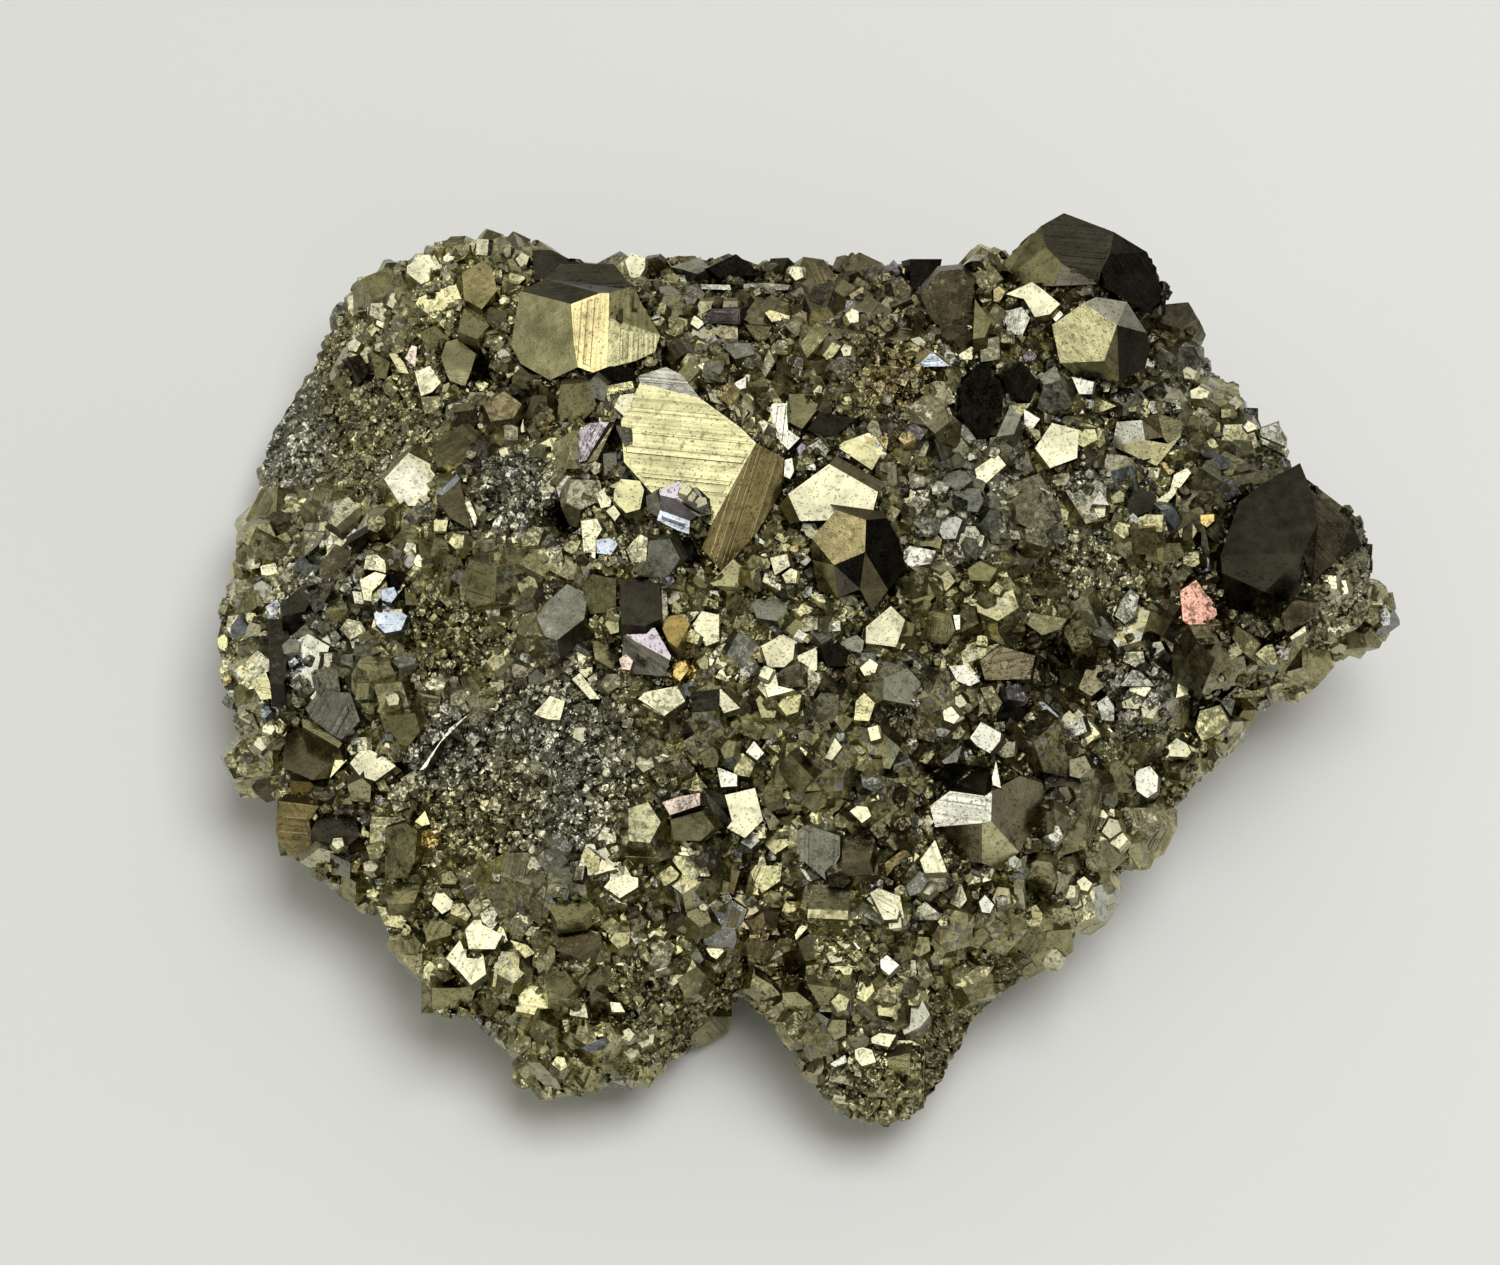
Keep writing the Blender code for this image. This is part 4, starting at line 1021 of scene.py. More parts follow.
def divide(bm, layer, value, step):
    """Divides the faces with a value on a layer until no edge of theirs is over a step long."""
    for _ in range(BREAK_PASSES):
        bmesh.ops.triangulate(bm, faces=[f for f in bm.faces if f[layer] == value])
        edges = {e for f in bm.faces if f[layer] == value for e in f.edges}
        long_edges = [e for e in edges if e.calc_length() > step]
        if not long_edges:
            break
        bmesh.ops.subdivide_edges(bm, edges=long_edges, cuts=1)
    bmesh.ops.triangulate(bm, faces=[f for f in bm.faces if f[layer] == value])


def divide_near(bm, shapes):
    """Divides the surface where the picture shows it near some outlines, and gives its corners.

    Each outline comes with how far around it counts as near.
    """
    kind = bm.faces.layers.int["kind"]
    near = bm.faces.layers.int.new("near")
    lows = np.array([s.min(axis=0) - margin / MM / MM_PER_PIXEL for s, margin in shapes])
    highs = np.array([s.max(axis=0) + margin / MM / MM_PER_PIXEL for s, margin in shapes])
    for face in bm.faces:
        places = pixels(np.array([vert.co for vert in face.verts]))
        touches = (places.min(axis=0) < highs) & (places.max(axis=0) > lows)
        face[near] = int(touches.all(axis=1).any() and face[kind] != UNDERSIDE)
    divide(bm, near, 1, PRESS_STEP)
    verts = {vert for face in bm.faces if face[near] for vert in face.verts}
    bm.faces.layers.int.remove(near)
    return verts


def press_back(bm, solid, large, faced, large_outlines, gem_outlines):
    """Presses the solid's surface back behind the crystals set by their corners.

    It is pressed back around the large ones too, and deeper into the hollows.
    """
    shapes = [(outline, PRESS_MARGIN) for outline in large_outlines]
    shapes += [(outline, FACED_MARGIN) for outline in gem_outlines]
    shapes += [(np.array([[patch.u, patch.v]]), patch.radius * MM) for patch in HOLLOWS]
    moved = set()
    for vert in divide_near(bm, shapes):
        ray = (vert.co - EYE).normalized()
        seen = solid.ray_cast(EYE, ray)[0]
        if seen is not None and (vert.co - seen).dot(ray) > PRESS_BEHIND:
            continue
        over = 0
        for tree in (large, faced):
            front = tree.ray_cast(EYE, ray)[0]
            if front is not None:
                over = max(over, (vert.co - front).dot(TO_EYE) + PRESS_UNDER)
        aside = vert.co - large.find_nearest(vert.co)[0]
        if (aside - TO_EYE * aside.dot(TO_EYE)).length < PRESS_MARGIN:
            over = max(over, aside.dot(TO_EYE) + PRESS_AROUND)
        over += HOLLOW_DEPTH * within(HOLLOWS, np.array([vert.co]))[0]
        if over > PRESS_LEAST:
            vert.co += ray * over
            vert.co.z = max(vert.co.z, 0)
            moved.add(vert)
    kind = bm.faces.layers.int["kind"]
    for face in bm.faces:
        if face[kind] == CRYSTAL and any(vert in moved for vert in face.verts):
            face[kind] = ROCK
    bm.normal_update()


def break_underside(bm):
    """Divides the flat underside into squares a step wide."""
    kind = bm.faces.layers.int["kind"]
    for axis, normal in enumerate((Vector((1, 0, 0)), Vector((0, 1, 0)))):
        across = [vert.co[axis] for vert in bm.verts]
        for place in np.arange(min(across) + BASE_STEP / 2, max(across), BASE_STEP):
            faces = [f for f in bm.faces if f[kind] == UNDERSIDE]
            edges = {e for f in faces for e in f.edges}
            verts = {v for f in faces for v in f.verts}
            bmesh.ops.bisect_plane(
                bm,
                geom=[*faces, *edges, *verts],
                dist=BASE_WELD,
                plane_co=normal * place,
                plane_no=normal,
            )
    bmesh.ops.triangulate(bm, faces=[f for f in bm.faces if f[kind] == UNDERSIDE])


def make_skin(bm):
    """The solid's surface with the rock between its crystals broken rough."""
    rng = np.random.default_rng(SEED)
    kind = bm.faces.layers.int["kind"]
    divide(bm, kind, ROCK, ROCK_STEP)
    break_underside(bm)
    bm.normal_update()
    for vert in bm.verts:
        kinds = {face[kind] for face in vert.link_faces}
        if kinds == {ROCK}:
            lump = noise.noise(vert.co / ROCK_LUMPS) + rng.uniform(-ROCK_SPREAD, ROCK_SPREAD)
            vert.co += vert.normal * ROCK_RELIEF * lump
        elif kinds == {UNDERSIDE}:
            lump = BASE_LIFT + noise.noise(vert.co / BASE_LUMPS) / 2
            lump += rng.uniform(-BASE_SPREAD, BASE_SPREAD)
            vert.co.z += BASE_RELIEF * max(lump, 0)
            vert.co.x += BASE_STEP * rng.uniform(-BASE_SPREAD, BASE_SPREAD)
            vert.co.y += BASE_STEP * rng.uniform(-BASE_SPREAD, BASE_SPREAD)
    mesh = bpy.data.meshes.new("massive_pyrite")
    rough = np.array([face[kind] for face in bm.faces]) != CRYSTAL
    bm.to_mesh(mesh)
    mesh.attributes.remove(mesh.attributes["kind"])
    mesh.shade_flat()
    count = len(rough)
    colours = tarnish_and_hollow_shade(np.array([face.calc_center_median() for face in bm.faces]), rng)
    rock_shades = rng.uniform(*ROCK_SHADES, count)
    shades = np.where(rough, rock_shades, rng.uniform(*FACE_SHADES, count))
    colours = np.clip(colours * shades[:, None], *TINT_LIMITS)
    gloss = np.where(rough, ROCK_GLOSS, FACE_GLOSS) + rng.uniform(*GLOSS_SPREAD, count)
    grit = np.where(rough, ROCK_GRIT, FACE_GRIT)
    dress(mesh, colours, gloss, np.zeros((count, 3)), grit)
    return show("massive_pyrite", mesh)


# Growth ledges


def spans_at(outline, y):
    """The stretches of a line of constant y inside an outline, as pairs of x."""
    cuts = []
    for (x0, y0), (x1, y1) in sides_of(outline):
        if (y0 > y) != (y1 > y):
            cuts.append(x0 + (x1 - x0) * (y - y0) / (y1 - y0))
    cuts.sort()
    return list(zip(cuts[::2], cuts[1::2]))


def end_room(width, rng):
    """How far a ledge stops short of the side of a face of some width."""
    room = rng.uniform(*LEDGE_END)
    held_back = rng.random() < LEDGE_SHORT
    return room + held_back * rng.uniform(*LEDGE_SHORTENING) * width


def ledge_plan(outline, low, high, rng):
    """The corners, in the face's plane, of one ledge between two heights of the outline."""
    middle = spans_at(outline, (low + high) / 2)
    if not middle:
        return None
    left, right = max(middle, key=lambda span: span[1] - span[0])
    ends = []
    for y in (low, high):
        near = [s for s in spans_at(outline, y) if s[0] < right and s[1] > left]
        if not near:
            return None
        ends.append(max(near, key=lambda span: min(span[1], right) - max(span[0], left)))
    (left0, right0), (left1, right1) = ends
    before = end_room(right - left, rng)
    after = end_room(right - left, rng)
    low_side = [(left0 + before, low), (right0 - after, low)]
    high_side = [(right1 - after, high), (left1 + before, high)]
    lengths = (low_side[1][0] - low_side[0][0], high_side[0][0] - high_side[1][0])
    if min(lengths) < LEDGE_LENGTH:
        return None
    return np.array(low_side + high_side)


def add_ledges(heap, corners, normal, along, colour, rng):
    """Low parallel ledges along one face, given by its corners."""
    across = normal.cross(along)
    origin = corners[0]
    outline = np.array([((c - origin).dot(along), (c - origin).dot(across)) for c in corners])
    basis = np.array([along, across, normal])
    y = outline[:, 1].min() + LEDGE_START
    while y < outline[:, 1].max() - LEDGE_FINISH:
        width = rng.uniform(*LEDGE_WIDTH)
        plan = ledge_plan(outline, y, y + width, rng)
        y += width
        if plan is None or rng.random() > LEDGE_SHARE:
            continue
        height = rng.uniform(*LEDGE_HEIGHT)
        low, high = height * rng.uniform(*LEDGE_TILT, 2)
        bottom = np.column_stack([plan, np.full(4, -LEDGE_SUNK)])
        top = np.column_stack([plan + LEDGE_INSETS * height * LEDGE_SLOPE, [low, low, high, high]])
        verts = np.concatenate([bottom, top]) @ basis + np.array(origin)
        tint = np.tile(np.array(colour) * rng.uniform(*LEDGE_SHADES), (6, 1))
        # Painted shade on the four sides
        tint[2:] *= LEDGE_SIDE_PAINTED_SHADE
        gloss = np.full(6, rng.uniform(*LEDGE_GLOSS))
        heap.add(verts, LEDGE_LOOPS, np.full(6, 4), tint, gloss, np.tile(across, (6, 1)))


def grow_ledges(bm, outlines):
    """Ledges along the longest edge of the larger crystal faces of the solid."""
    rng = np.random.default_rng(SEED + 1)
    heap = Heap()
    kind = bm.faces.layers.int["kind"]
    for face in bm.faces:
        if face[kind] != CRYSTAL or face.calc_area() < LEDGE_FACE:
            continue
        middle = np.array([face.calc_center_median()])
        if covered(pixels(middle), outlines)[0]:
            continue
        edge = max(face.edges, key=lambda e: e.calc_length())
        along = (edge.verts[1].co - edge.verts[0].co).normalized()
        corners = [vert.co for vert in face.verts]
        add_ledges(heap, corners, face.normal, along, tarnish_and_hollow_shade(middle, rng)[0], rng)
    return heap.build("growth_ledges")


# The crystals set by their corners


def turned_to_share(normal, shared):
    """A normal turned to hold the longest line between shared corners, and a point of it."""
    start, end = max(
        ((a, b) for a in shared for b in shared), key=lambda pair: (pair[0] - pair[1]).length
    )
    edge = (start - end).normalized()
    return (normal - edge * normal.dot(edge)).normalized(), start


def cut_large(large, solid, heap, ledges, rng):
    """A large crystal from its corners in the picture, closed by a root inside the rock."""
    seat = sight([solid], *large.seat)
    seat = seat + (EYE - seat).normalized() * large.rise * MM
    bm = bmesh.new()
    placed = {}
    facets = {}
    for facet in large.facets:
        normal = leaning(facet.right, facet.up, large.seat)
        shared = [placed[corner].co for corner in facet.corners if corner in placed]
        if shared:
            normal, seat = turned_to_share(normal, shared)
        for corner in facet.corners:
            if corner not in placed:
                placed[corner] = bm.verts.new(on_plane(large.corners[corner], seat, normal))
        facets[bm.faces.new([placed[corner] for corner in facet.corners])] = facet
    middle = sum((vert.co for vert in bm.verts), Vector()) / len(bm.verts)
    reach = max((vert.co - middle).length for vert in bm.verts)
    root = bm.verts.new(middle - TO_EYE * reach * ROOT_DEPTH)
    root.co.z = max(root.co.z, ROOT_LEVEL)
    for edge in [edge for edge in bm.edges if edge.is_boundary]:
        bm.faces.new((*edge.verts, root))
    bmesh.ops.recalc_face_normals(bm, faces=bm.faces)
    tint = np.tile(np.array(UMBER), (len(bm.faces), 1))
    grain = np.zeros((len(bm.faces), 3))
    for number, face in enumerate(bm.faces):
        facet = facets.get(face)
        if facet is None:
            continue
        tint[number] = np.array(facet.colour) * rng.uniform(*LARGE_SHADES)
        if facet.ledges is not None:
            along = bearing_on(face.normal, facet.ledges)
            grain[number] = face.normal.cross(along)
            corners = [vert.co for vert in face.verts]
            add_ledges(ledges, corners, face.normal, along, tint[number], rng)
    gloss = np.full(len(bm.faces), LARGE_GLOSS)
    heap.add(*mesh_arrays(bm), tint, gloss, grain)
    bm.free()


def gem_outline(gem):
    """The corners of a small crystal's top, as an array of pixels."""
    return np.array([[int(n) for n in corner.split(",")] for corner in gem.corners.split()])


def cut_gem(gem, solids, heap, ledges, rng):
    """A small crystal whose top face has the corners the picture shows.

    Its sides flare down to a foot, and a root closes it inside the rock.
    """
    outline = gem_outline(gem)
    seat = sight(solids, *outline.mean(axis=0))
    rise = GEM_RISE_BRIGHT if gem.lean in (LIT, GLOW, SOFT) else GEM_RISE
    seat = seat + (EYE - seat).normalized() * rise
    right, up = np.array(gem.lean) + rng.uniform(-GEM_JITTER, GEM_JITTER, 2)
    normal = leaning(right, up, outline.mean(axis=0))
    top = np.array([on_plane(corner, seat, normal) for corner in outline])
    middle = top.mean(axis=0)
    turning = np.cross(top - middle, np.roll(top, -1, axis=0) - middle).sum(axis=0)
    if turning @ np.array(normal) < 0:
        top = top[::-1]
    radius = np.linalg.norm(top - middle, axis=1).mean()
    foot = middle + (top - middle) * (1 + GEM_FLARE) - np.array(normal) * radius * GEM_DEPTH
    root = middle - np.array(normal) * radius * GEM_ROOT
    foot[:, 2] = np.maximum(foot[:, 2], ROOT_LEVEL)
    root[2] = max(root[2], ROOT_LEVEL)
    count = len(top)
    here = np.arange(count)
    after = np.roll(here, -1)
    sides = np.column_stack([here, here + count, after + count, after])
    roots = np.column_stack([here + count, np.full(count, 2 * count), after + count])
    loops = np.concatenate([here, sides.ravel(), roots.ravel()])
    sizes = np.concatenate([[count], np.full(count, 4), np.full(count, 3)])
    colour = np.array(gem.colour) * rng.uniform(*GEM_SHADES)
    # Painted shade: the sides and the root are darker than the top
    side_painted_shades = rng.uniform(*GEM_SIDE_PAINTED_SHADES, count)
    shade = np.concatenate([[1.0], side_painted_shades, np.full(count, GEM_ROOT_PAINTED_SHADE)])
    top_gloss = rng.uniform(*GEM_GLOSS)
    gloss = np.concatenate([[top_gloss], rng.uniform(*GEM_SIDE_GLOSS, 2 * count)])
    grain = np.zeros((len(sizes), 3))
    if gem.ledges is not None:
        along = bearing_on(normal, gem.ledges)
        grain[0] = normal.cross(along)
        add_ledges(ledges, [Vector(corner) for corner in top], normal, along, colour, rng)
    tint = np.clip(colour * shade[:, None], *TINT_LIMITS)
    heap.add(np.concatenate([top, foot, [root]]), loops, sizes, tint, gloss, grain)


def surface_of(piece):
    """The surface of a piece, for sight lines to meet."""
    bm = bmesh.new()
    bm.from_mesh(piece.data)
    surface = BVHTree.FromBMesh(bm)
    bm.free()
    return surface


def grow_faced(solid):
    """The large crystals and the small ones set by their corners, with their ledges."""
    rng = np.random.default_rng(SEED + 2)
    heap, ledges = Heap(), Heap()
    for large in LARGE:
        cut_large(large, solid, heap, ledges, rng)
    largest = heap.build("crystals_largest")
    solids = [solid, surface_of(largest)]
    heap = Heap()
    for gem in GEMS:
        cut_gem(gem, solids, heap, ledges, rng)
    return largest, heap.build("crystals_faced", FACE_GRIT), ledges.build("largest_ledges")


# The small crystals


def cut_solid(planes):
    """A solid cut out of a block by planes, each a normal and a distance from the centre."""
    bm = bmesh.new()
    bmesh.ops.create_cube(bm, size=BLANK_SIZE)
    for normal, distance in planes:
        cut = bmesh.ops.bisect_plane(
            bm,
            geom=bm.verts[:] + bm.edges[:] + bm.faces[:],
            dist=CUT_TOLERANCE,
            plane_co=normal * distance,
            plane_no=normal,
            clear_outer=True,
        )
        rim = [item for item in cut["geom_cut"] if isinstance(item, bmesh.types.BMEdge)]
        if rim:
            bmesh.ops.contextual_create(bm, geom=rim)
    bmesh.ops.recalc_face_normals(bm, faces=bm.faces)
    return bm


# A unit crystal as arrays: those of mesh_arrays, the direction across each face's longest edge,
# and the normal of its widest face
Form = namedtuple("Form", "verts loops sizes across facing")


def unit_form(kind, rng):
    """One crystal of a kind, its planes a little off their places."""
    if kind in CUTS:
        planes = [
            (normal, radius * (1 + rng.uniform(-CUT_SPREAD, CUT_SPREAD)))
            for normals, radius, share in CUTS[kind]
            for normal in normals
            if share == 1 or rng.random() < share
        ]
    else:
        normals = [Vector(rng.normal(size=3)).normalized() for _ in range(GRAIN_PLANES)]
        planes = [(normal, rng.uniform(*GRAIN_RADIUS)) for normal in normals]
        planes += [(normal, GRAIN_LIMIT) for normal in CUBE]
    bm = cut_solid(planes)
    arrays = mesh_arrays(bm)
    normals = np.array([face.normal for face in bm.faces])
    long_edges = [max(face.edges, key=lambda edge: edge.calc_length()) for face in bm.faces]
    along = [(e.verts[1].co - e.verts[0].co).normalized() for e in long_edges]
    widest = max(bm.faces, key=lambda face: face.calc_area()).normal.copy()
    bm.free()
    return Form(*arrays, np.cross(normals, np.array(along)), np.array(widest))


def turns(count, rng):
    """Random rotation matrices."""
    w, x, y, z = rng.normal(size=(4, count))
    w, x, y, z = np.array([w, x, y, z]) / np.sqrt(w * w + x * x + y * y + z * z)
    rows = [
        [1 - 2 * (y * y + z * z), 2 * (x * y - z * w), 2 * (x * z + y * w)],
        [2 * (x * y + z * w), 1 - 2 * (x * x + z * z), 2 * (y * z - x * w)],
        [2 * (x * z - y * w), 2 * (y * z + x * w), 1 - 2 * (x * x + y * y)],
    ]
    return np.array(rows).transpose(2, 0, 1)


def turned_to_lamp(form, rotations, rng):
    """Turns each crystal on so that its widest face nearly mirrors the lamp to the eye."""
    facing = np.array(leaning(*LIT))
    turned = []
    for rotation in rotations:
        aim = Vector(facing + rng.normal(size=3) * FACING_SPREAD).normalized()
        face = Vector(rotation @ form.facing)
        turned.append(np.array(face.rotation_difference(aim).to_matrix()) @ rotation)
    return np.array(turned).reshape(-1, 3, 3)


def scatter(heap, form, centres, rotations, units, colours, outward, rng):
    """Adds one form at many places, each turned and sized its own way.

    Its faces are painted darker, as shade, the deeper they sit in the crevices around it.
    """
    count = len(centres)
    turned = np.einsum("nij,vj->nvi", rotations, form.verts) * units[:, None, None]
    placed = (turned + centres[:, None, :]).reshape(-1, 3)
    starts = np.arange(count)[:, None] * len(form.verts)
    faces = np.split(form.verts[form.loops], np.cumsum(form.sizes)[:-1])
    middles = np.array([corners.mean(axis=0) for corners in faces])
    # Painted shade: faces that sit lower, down in the crevice, are darkened in colour
    heights = np.einsum("nij,fj,ni->nf", rotations, middles, outward)
    depth = np.clip((heights - CREVICE[0]) / (CREVICE[1] - CREVICE[0]), 0, 1)[..., None]
    shade = rng.uniform(*SMALL_SHADES, (count, len(faces), 1))
    shade = shade * (PAINTED_CREVICE_SHADE + (1 - PAINTED_CREVICE_SHADE) * depth)
    tint = np.clip(colours[:, None, :] * shade, *TINT_LIMITS).reshape(-1, 3)
    gloss = rng.uniform(*SMALL_GLOSS, (count, len(faces))).ravel()
    lined = rng.random((count, len(faces), 1)) < LINED_SHARE
    grain = (np.einsum("nij,fj->nfi", rotations, form.across) * lined).reshape(-1, 3)
    loops = (starts + form.loops[None, :]).ravel()
    heap.add(placed, loops, np.tile(form.sizes, count), tint, gloss, grain)


def set_sparks(solids, taken, rng):
    """The small bright crystals whose places the picture gives."""
    heap = Heap()
    for u, v, width in SPARKS:
        form = unit_form("p", rng)
        seat = sight(solids, u, v)
        centre = seat + (EYE - seat).normalized() * width * (SPARK_RISE - 0.5) * MM
        right, up = np.array(LIT) + rng.uniform(-SPARK_JITTER, SPARK_JITTER, 2)
        normal = leaning(right, up, (u, v))
        own_turn = Matrix.Rotation(rng.uniform(0, math.tau), 3, normal)
        rotation = own_turn @ Vector(form.facing).rotation_difference(normal).to_matrix()
        colour = np.array(PALE) * rng.uniform(*SPARK_SHADES)
        one = [np.array([value]) for value in (centre, rotation, width / 2 * MM, colour, normal)]
        scatter(heap, form, *one, rng)
        taken.append((centre, width * MM))
    return heap.build("crystals_bright")


class Ground:
    """The surface that small crystals grow on: its triangles, and where its crystals' feet are."""

    def __init__(self, bm):
        kind = bm.faces.layers.int["kind"]
        spots = []
        for edge in bm.edges:
            if edge.calc_face_angle_signed(0) < -FOOT_ANGLE:
                a, b = (vert.co for vert in edge.verts)
                steps = max(1, int((b - a).length / FOOT_STEP))
                spots += [a.lerp(b, i / steps) for i in range(steps + 1)]
        self.feet = tree_of(spots)
        triangles = [t for t in bm.calc_loop_triangles() if t[0].face[kind] != UNDERSIDE]
        self.corners = np.array([[loop.vert.co.copy() for loop in loops] for loops in triangles])
        self.on_crystal = np.array([loops[0].face[kind] == CRYSTAL for loops in triangles])
        sides = self.corners[:, 1:] - self.corners[:, :1]
        normals = np.cross(sides[:, 0], sides[:, 1])
        doubled = np.linalg.norm(normals, axis=1)
        self.normals = normals / np.maximum(doubled, LEAST_AREA)[:, None]
        self.areas = doubled / 2

    def sample(self, count, rng):
        """Random places on the ground, with their normals and whether each is on a crystal."""
        picked = rng.choice(len(self.areas), count, p=self.areas / self.areas.sum())
        a, b = rng.random((2, count, 1))
        flip = a + b > 1
        a, b = np.where(flip, 1 - a, a), np.where(flip, 1 - b, b)
        first, second, third = self.corners[picked].transpose(1, 0, 2)
        spots = first + a * (second - first) + b * (third - first)
        return spots, self.normals[picked], self.on_crystal[picked]


def find_room(ground, growth, taken, outlines, top, rng):
    """Places where one size of crystals can grow, with their normals and widths."""
    spots, normals, on_crystal = ground.sample(growth.tries, rng)
    widths = rng.uniform(growth.low, growth.high, len(spots)) * MM
    strays = rng.random(len(spots)) < STRAY_SHARE
    free = ~crowded(pixels(spots), widths, outlines) & (within(BARE, spots) <= BARE_LIMIT)
    free &= (within(GRAINY, spots) <= GRAINY_LIMIT) | (widths <= GRAIN_WIDTH)
    free &= (normals[:, 2] >= WALL_LIMIT) & (spots[:, 2] >= widths * CLEARANCE)
    free &= spots[:, 2] + widths * CLEARANCE <= top + ABOVE_BOX
    others = tree_of([spot for spot, _ in taken])
    widest = max(width for _, width in taken)
    same = tree_of(spots)
    kept = np.zeros(len(spots), bool)
    for number in np.flatnonzero(free):
        spot, width = spots[number], widths[number]
        if on_crystal[number] and not strays[number]:
            if ground.feet.find(spot)[2] > width * FOOT_REACH:
                continue
        near = others.find_range(spot, growth.gap * (width + widest) / 2)
        if any(gap < growth.gap * (width + taken[other][1]) / 2 for _, other, gap in near):
            continue
        near = same.find_range(spot, growth.gap * width)
        kept[number] = not any(kept[other] for _, other, _ in near)
    return spots[kept], normals[kept], widths[kept]


def grow_over(ground, growth, taken, outlines, top, rng):
    """Grows one size of small crystals wherever there is room for them."""
    spots, normals, widths = find_room(ground, growth, taken, outlines, top, rng)
    taken += [(Vector(spot), width) for spot, width in zip(spots, widths)]
    units = widths / 2
    sinks = rng.uniform(*growth.sink, len(spots)) * units
    centres = spots - normals * sinks[:, None]
    colours = tarnish_and_hollow_shade(centres, rng)
    heap = Heap()
    kinds = rng.choice(list(growth.kinds), len(spots))
    for kind in sorted(set(growth.kinds)):
        forms = [unit_form(kind, rng) for _ in range(FORMS_OF_A_KIND[kind])]
        which = rng.integers(0, len(forms), len(spots))
        for number, form in enumerate(forms):
            own = (kinds == kind) & (which == number)
            if own.any():
                rotations = turns(own.sum(), rng)
                facing = rng.random(own.sum()) < FACING_SHARE
                rotations[facing] = turned_to_lamp(form, rotations[facing], rng)
                placed = centres[own], rotations, units[own], colours[own], normals[own]
                scatter(heap, form, *placed, rng)
    return heap.build(growth.name, growth.grit)


# Materials and studio


def add_node(tree, kind, inputs, **settings):
    """Adds a shader node. Each input is given a value, or the output that feeds it."""
    node = tree.nodes.new("ShaderNode" + kind)
    for name, value in settings.items():
        setattr(node, name, value)
    for socket, value in inputs.items():
        if isinstance(value, bpy.types.NodeSocket):
            tree.links.new(value, node.inputs[socket])
        else:
            node.inputs[socket].default_value = value
    return node


def combine(tree, operation, *values):
    """The output of a math node on some values and outputs."""
    return add_node(tree, "Math", dict(enumerate(values)), operation=operation).outputs[0]


def combine_vectors(tree, operation, *values):
    """The output of a vector math node on some vectors and outputs."""
    node = add_node(tree, "VectorMath", dict(enumerate(values)), operation=operation)
    return node.outputs["Value" if operation == "DOT_PRODUCT" else "Vector"]


def scaled(tree, vector, factor):
    """A vector output times a factor."""
    inputs = {0: vector, "Scale": factor}
    return add_node(tree, "VectorMath", inputs, operation="SCALE").outputs["Vector"]


def noise_value(tree, place, scale, detail):
    """The value of noise of some scale at a place."""
    inputs = {"Vector": place, "Scale": scale, "Detail": detail}
    return add_node(tree, "TexNoise", inputs).outputs["Fac"]


def ranged(tree, value, low, high):
    """0 below the low value and 1 above the high one."""
    inputs = {"Value": value, "From Min": low, "From Max": high}
    return add_node(tree, "MapRange", inputs).outputs["Result"]


def new_material(name):
    """A material, with its node tree and its shader."""
    material = bpy.data.materials.new(name)
    material.use_nodes = True
    return material, material.node_tree, material.node_tree.nodes["Principled BSDF"]


def gritty_surface(tree, place, normal, grit):
    """The normal and the unevenness of gritty faces.

    They are broken into flat grains of two sizes, each tilted and shaded its own way, and shade
    is painted into the seams between them.
    """
    cells = []
    for scale, tilt in GRAIN_CELLS:
        cells.append(add_node(tree, "TexVoronoi", {"Vector": place, "Scale": scale}))
        lean = combine_vectors(tree, "SUBTRACT", cells[-1].outputs["Color"], CELL_MIDDLE)
        tilted = scaled(tree, lean, combine(tree, "MULTIPLY", grit, tilt))
        normal = combine_vectors(tree, "ADD", normal, tilted)
    normal = combine_vectors(tree, "NORMALIZE", normal)
    level = add_node(tree, "SeparateColor", {"Color": cells[0].outputs["Color"]}).outputs["Red"]
    uneven = combine(tree, "MULTIPLY_ADD", level, GRAIN_CONTRAST, -GRAIN_CONTRAST / 2)
    # Painted shade darkens the seams between the grains
    painted_seams = ranged(tree, cells[0].outputs["Distance"], *SEAM_RANGE)
    uneven = combine(tree, "ADD", uneven, combine(tree, "MULTIPLY", painted_seams, SEAM_PAINTED_SHADE))
    return normal, combine(tree, "MULTIPLY", uneven, grit)


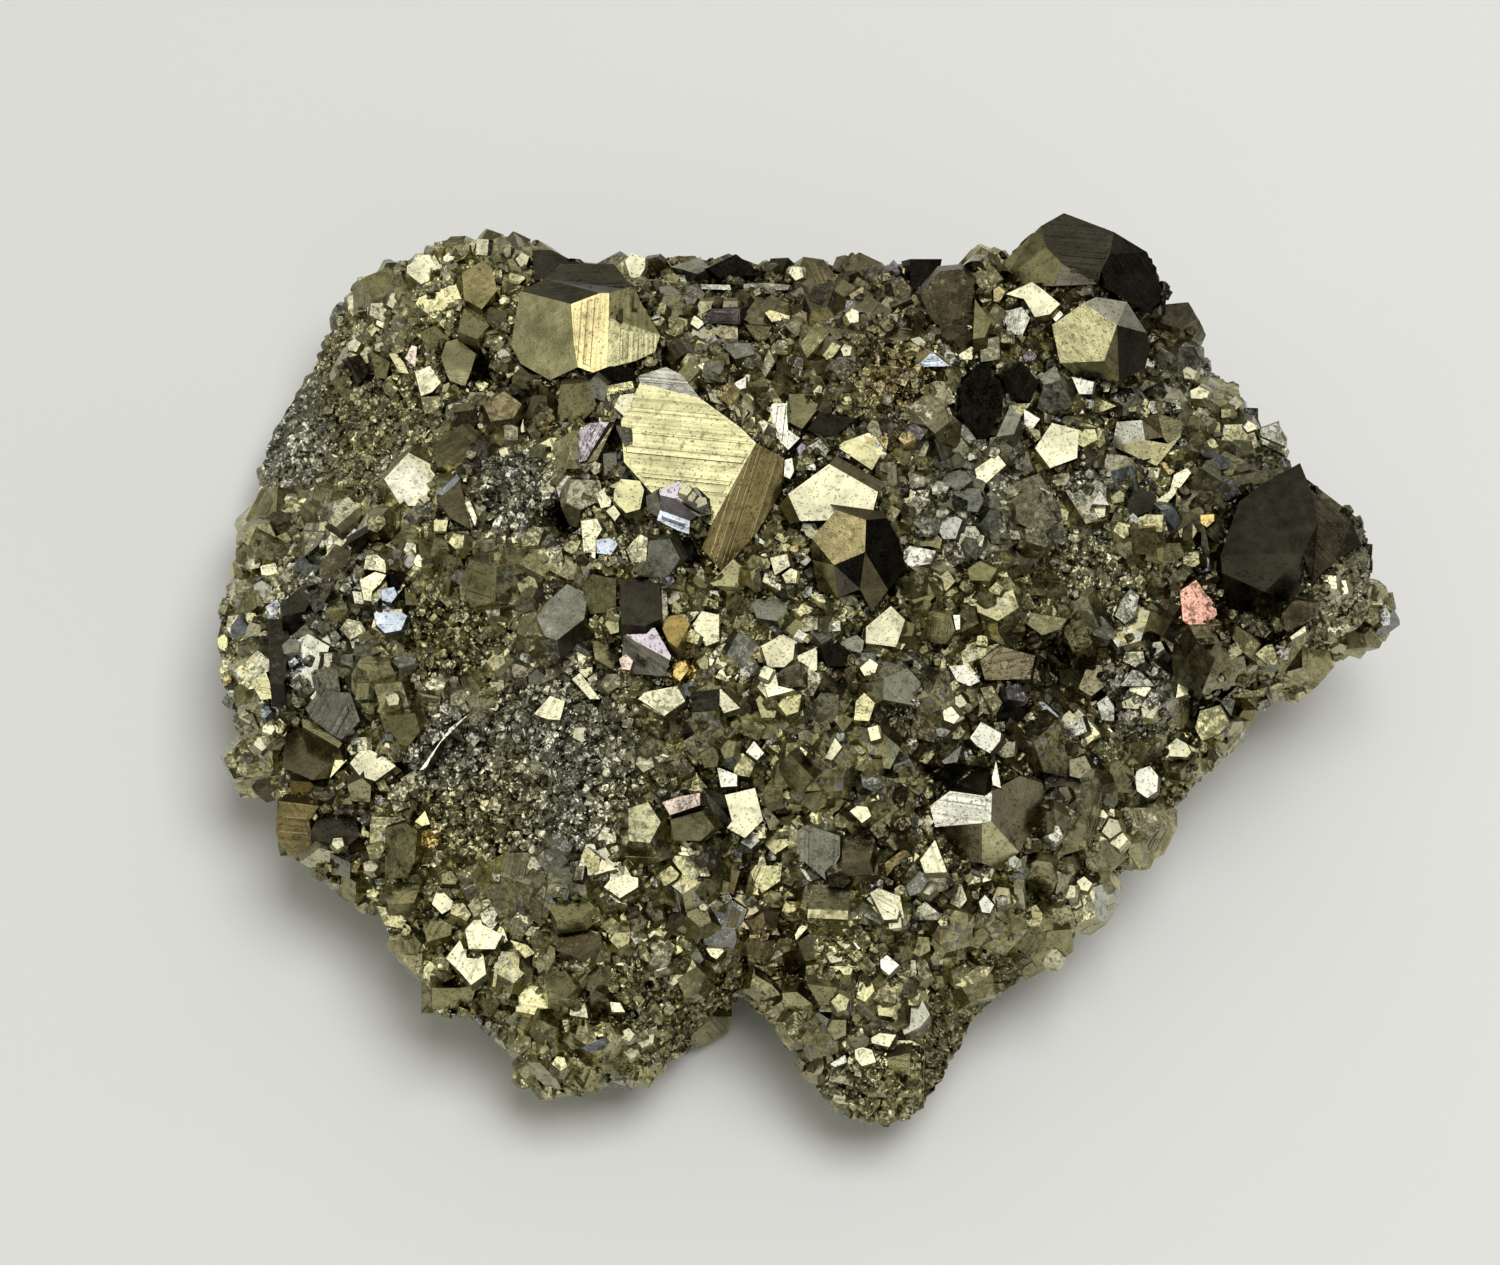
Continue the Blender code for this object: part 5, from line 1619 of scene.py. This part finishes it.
def pyrite_material():
    """Metallic pyrite: tarnish and painted shade from the faces, with striations, pits and a fine
    grain.
    """
    material, tree, surface = new_material("pyrite_lustre")
    surface.inputs["Metallic"].default_value = 1
    tint, gloss, grain, grit = (
        add_node(tree, "Attribute", {}, attribute_name=name).outputs
        for name in ("tint", "gloss", "grain", "grit")
    )
    texture = add_node(tree, "TexCoord", {}).outputs
    place = texture["Object"]
    normal, uneven = gritty_surface(tree, place, texture["Normal"], grit["Fac"])

    # Striations run across the grain, which is nought where a face has none
    stretch = combine_vectors(tree, "DOT_PRODUCT", place, grain["Vector"])
    inputs = {"W": stretch, "Scale": STRIAE_SCALE, "Detail": STRIAE_DETAIL}
    striae = add_node(tree, "TexNoise", inputs, noise_dimensions="1D").outputs["Fac"]

    heights = {"striae": striae}
    shades = []
    rough = gloss["Fac"]
    for name, pattern in PATTERNS.items():
        height = noise_value(tree, place, pattern.scale, pattern.detail)
        if pattern.range:
            height = ranged(tree, height, *pattern.range)
        heights[name] = height
        shades.append(combine(tree, "MULTIPLY_ADD", height, *pattern.shade))
        if pattern.rough:
            rougher = combine(tree, "MULTIPLY_ADD", height, *pattern.rough)
            rough = combine(tree, "ADD", rough, rougher)
    shades.append(combine(tree, "MULTIPLY_ADD", striae, *STRIAE_SHADE))
    shades.append(combine(tree, "ADD", uneven, 1.0))
    shade = shades[0]
    for factor in shades[1:]:
        shade = combine(tree, "MULTIPLY", shade, factor)
    for name, strength, height, inward in BUMPS:
        inputs = {"Strength": strength, "Distance": height, "Height": heights[name]}
        bump = add_node(tree, "Bump", {**inputs, "Normal": normal}, invert=inward)
        normal = bump.outputs["Normal"]
    tree.links.new(scaled(tree, tint["Color"], shade), surface.inputs["Base Color"])
    tree.links.new(rough, surface.inputs["Roughness"])
    tree.links.new(normal, surface.inputs["Normal"])
    return material


def make_floor():
    """The pale paper that the specimen lies on."""
    material, _, surface = new_material("pale_paper")
    surface.inputs["Roughness"].default_value = FLOOR_ROUGHNESS
    surface.inputs["Base Color"].default_value = FLOOR_COLOUR
    mesh = bpy.data.meshes.new("floor")
    half = FLOOR_SIZE / 2
    corners = [(-half, -half, 0), (half, -half, 0), (half, half, 0), (-half, half, 0)]
    mesh.from_pydata(corners, [], [(0, 1, 2, 3)])
    mesh.materials.append(material)
    floor = bpy.data.objects.new("floor", mesh)
    bpy.context.scene.collection.objects.link(floor)


def make_lamp(name, toward, size, radiance):
    """A square lamp in a direction from the origin, facing it."""
    lamp = bpy.data.lights.new(name, "AREA")
    lamp.shape = "SQUARE"
    lamp.size = size
    lamp.energy = radiance * math.pi * size**2
    light = bpy.data.objects.new(name, lamp)
    light.location = toward.normalized() * LIGHT_DISTANCE
    light.rotation_euler = toward.to_track_quat("Z", "Y").to_euler()
    bpy.context.scene.collection.objects.link(light)
    return light


def make_room():
    """The room around the specimen: soft patches of dark and pale, for the faces to mirror."""
    world = bpy.data.worlds.new("studio")
    world.use_nodes = True
    tree = world.node_tree
    around = add_node(tree, "TexCoord", {}).outputs["Generated"]
    walls = ranged(tree, noise_value(tree, around, ROOM_SCALE, ROOM_DETAIL), *ROOM_RANGE)
    inputs = {"Factor": walls, "A": ROOM_DARK, "B": ROOM_PALE}
    greys = add_node(tree, "Mix", inputs, data_type="RGBA")
    tree.links.new(greys.outputs["Result"], tree.nodes["Background"].inputs["Color"])
    bpy.context.scene.world = world


def make_camera():
    """The camera at the eye of the sight lines, framing the whole picture."""
    lens = bpy.data.cameras.new("camera")
    lens.sensor_width = SENSOR_WIDTH
    lens.lens = SENSOR_WIDTH * EYE_DISTANCE / (PICTURE_WIDTH * MM_PER_PIXEL * MM)
    lens.clip_start, lens.clip_end = CLIP
    camera = bpy.data.objects.new("camera", lens)
    camera.location = EYE
    camera.rotation_euler = TO_EYE.to_track_quat("Z", "Y").to_euler()
    bpy.context.scene.collection.objects.link(camera)
    bpy.context.scene.camera = camera


def make_studio():
    """The floor, the lights, the room and the camera."""
    make_floor()
    softbox = make_lamp("softbox", LIGHT_TO, LIGHT_SIZE, LIGHT_RADIANCE)
    softbox.visible_diffuse = False
    table_light = make_lamp("table_light", TABLE_LIGHT_TO, TABLE_LIGHT_SIZE, TABLE_LIGHT_RADIANCE)
    table_light.visible_glossy = False
    make_room()
    make_camera()
    bpy.context.scene.view_settings.view_transform = "Standard"


def main():
    """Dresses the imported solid, and sets up the studio around it."""
    for obj in list(bpy.data.objects):
        bpy.data.objects.remove(obj)
    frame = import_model()
    cad_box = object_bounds()
    shell = whole_faces(frame["nodes"][NODE])
    solid = BVHTree.FromBMesh(shell)

    pieces = [*grow_faced(solid)]
    large, faced = (surface_of(piece) for piece in pieces[:2])
    large_outlines = [
        np.array([crystal.corners[corner] for corner in facet.corners])
        for crystal in LARGE
        for facet in crystal.facets
    ]
    gem_outlines = [gem_outline(gem) for gem in GEMS]
    outlines = large_outlines + gem_outlines
    tag_faces(shell)
    press_back(shell, solid, large, faced, large_outlines, gem_outlines)

    rng = np.random.default_rng(SEED)
    ground = Ground(shell)
    taken = []
    pieces.append(set_sparks([BVHTree.FromBMesh(shell), large, faced], taken, rng))
    for growth in GROWTHS:
        pieces.append(grow_over(ground, growth, taken, outlines, cad_box[1].z, rng))
    pieces.append(grow_ledges(shell, outlines))
    skin = make_skin(shell)
    shell.free()
    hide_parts(NODE)
    pieces.append(skin)
    lustre = pyrite_material()
    for piece in pieces:
        piece.data.materials.append(lustre)
    make_studio()


main()
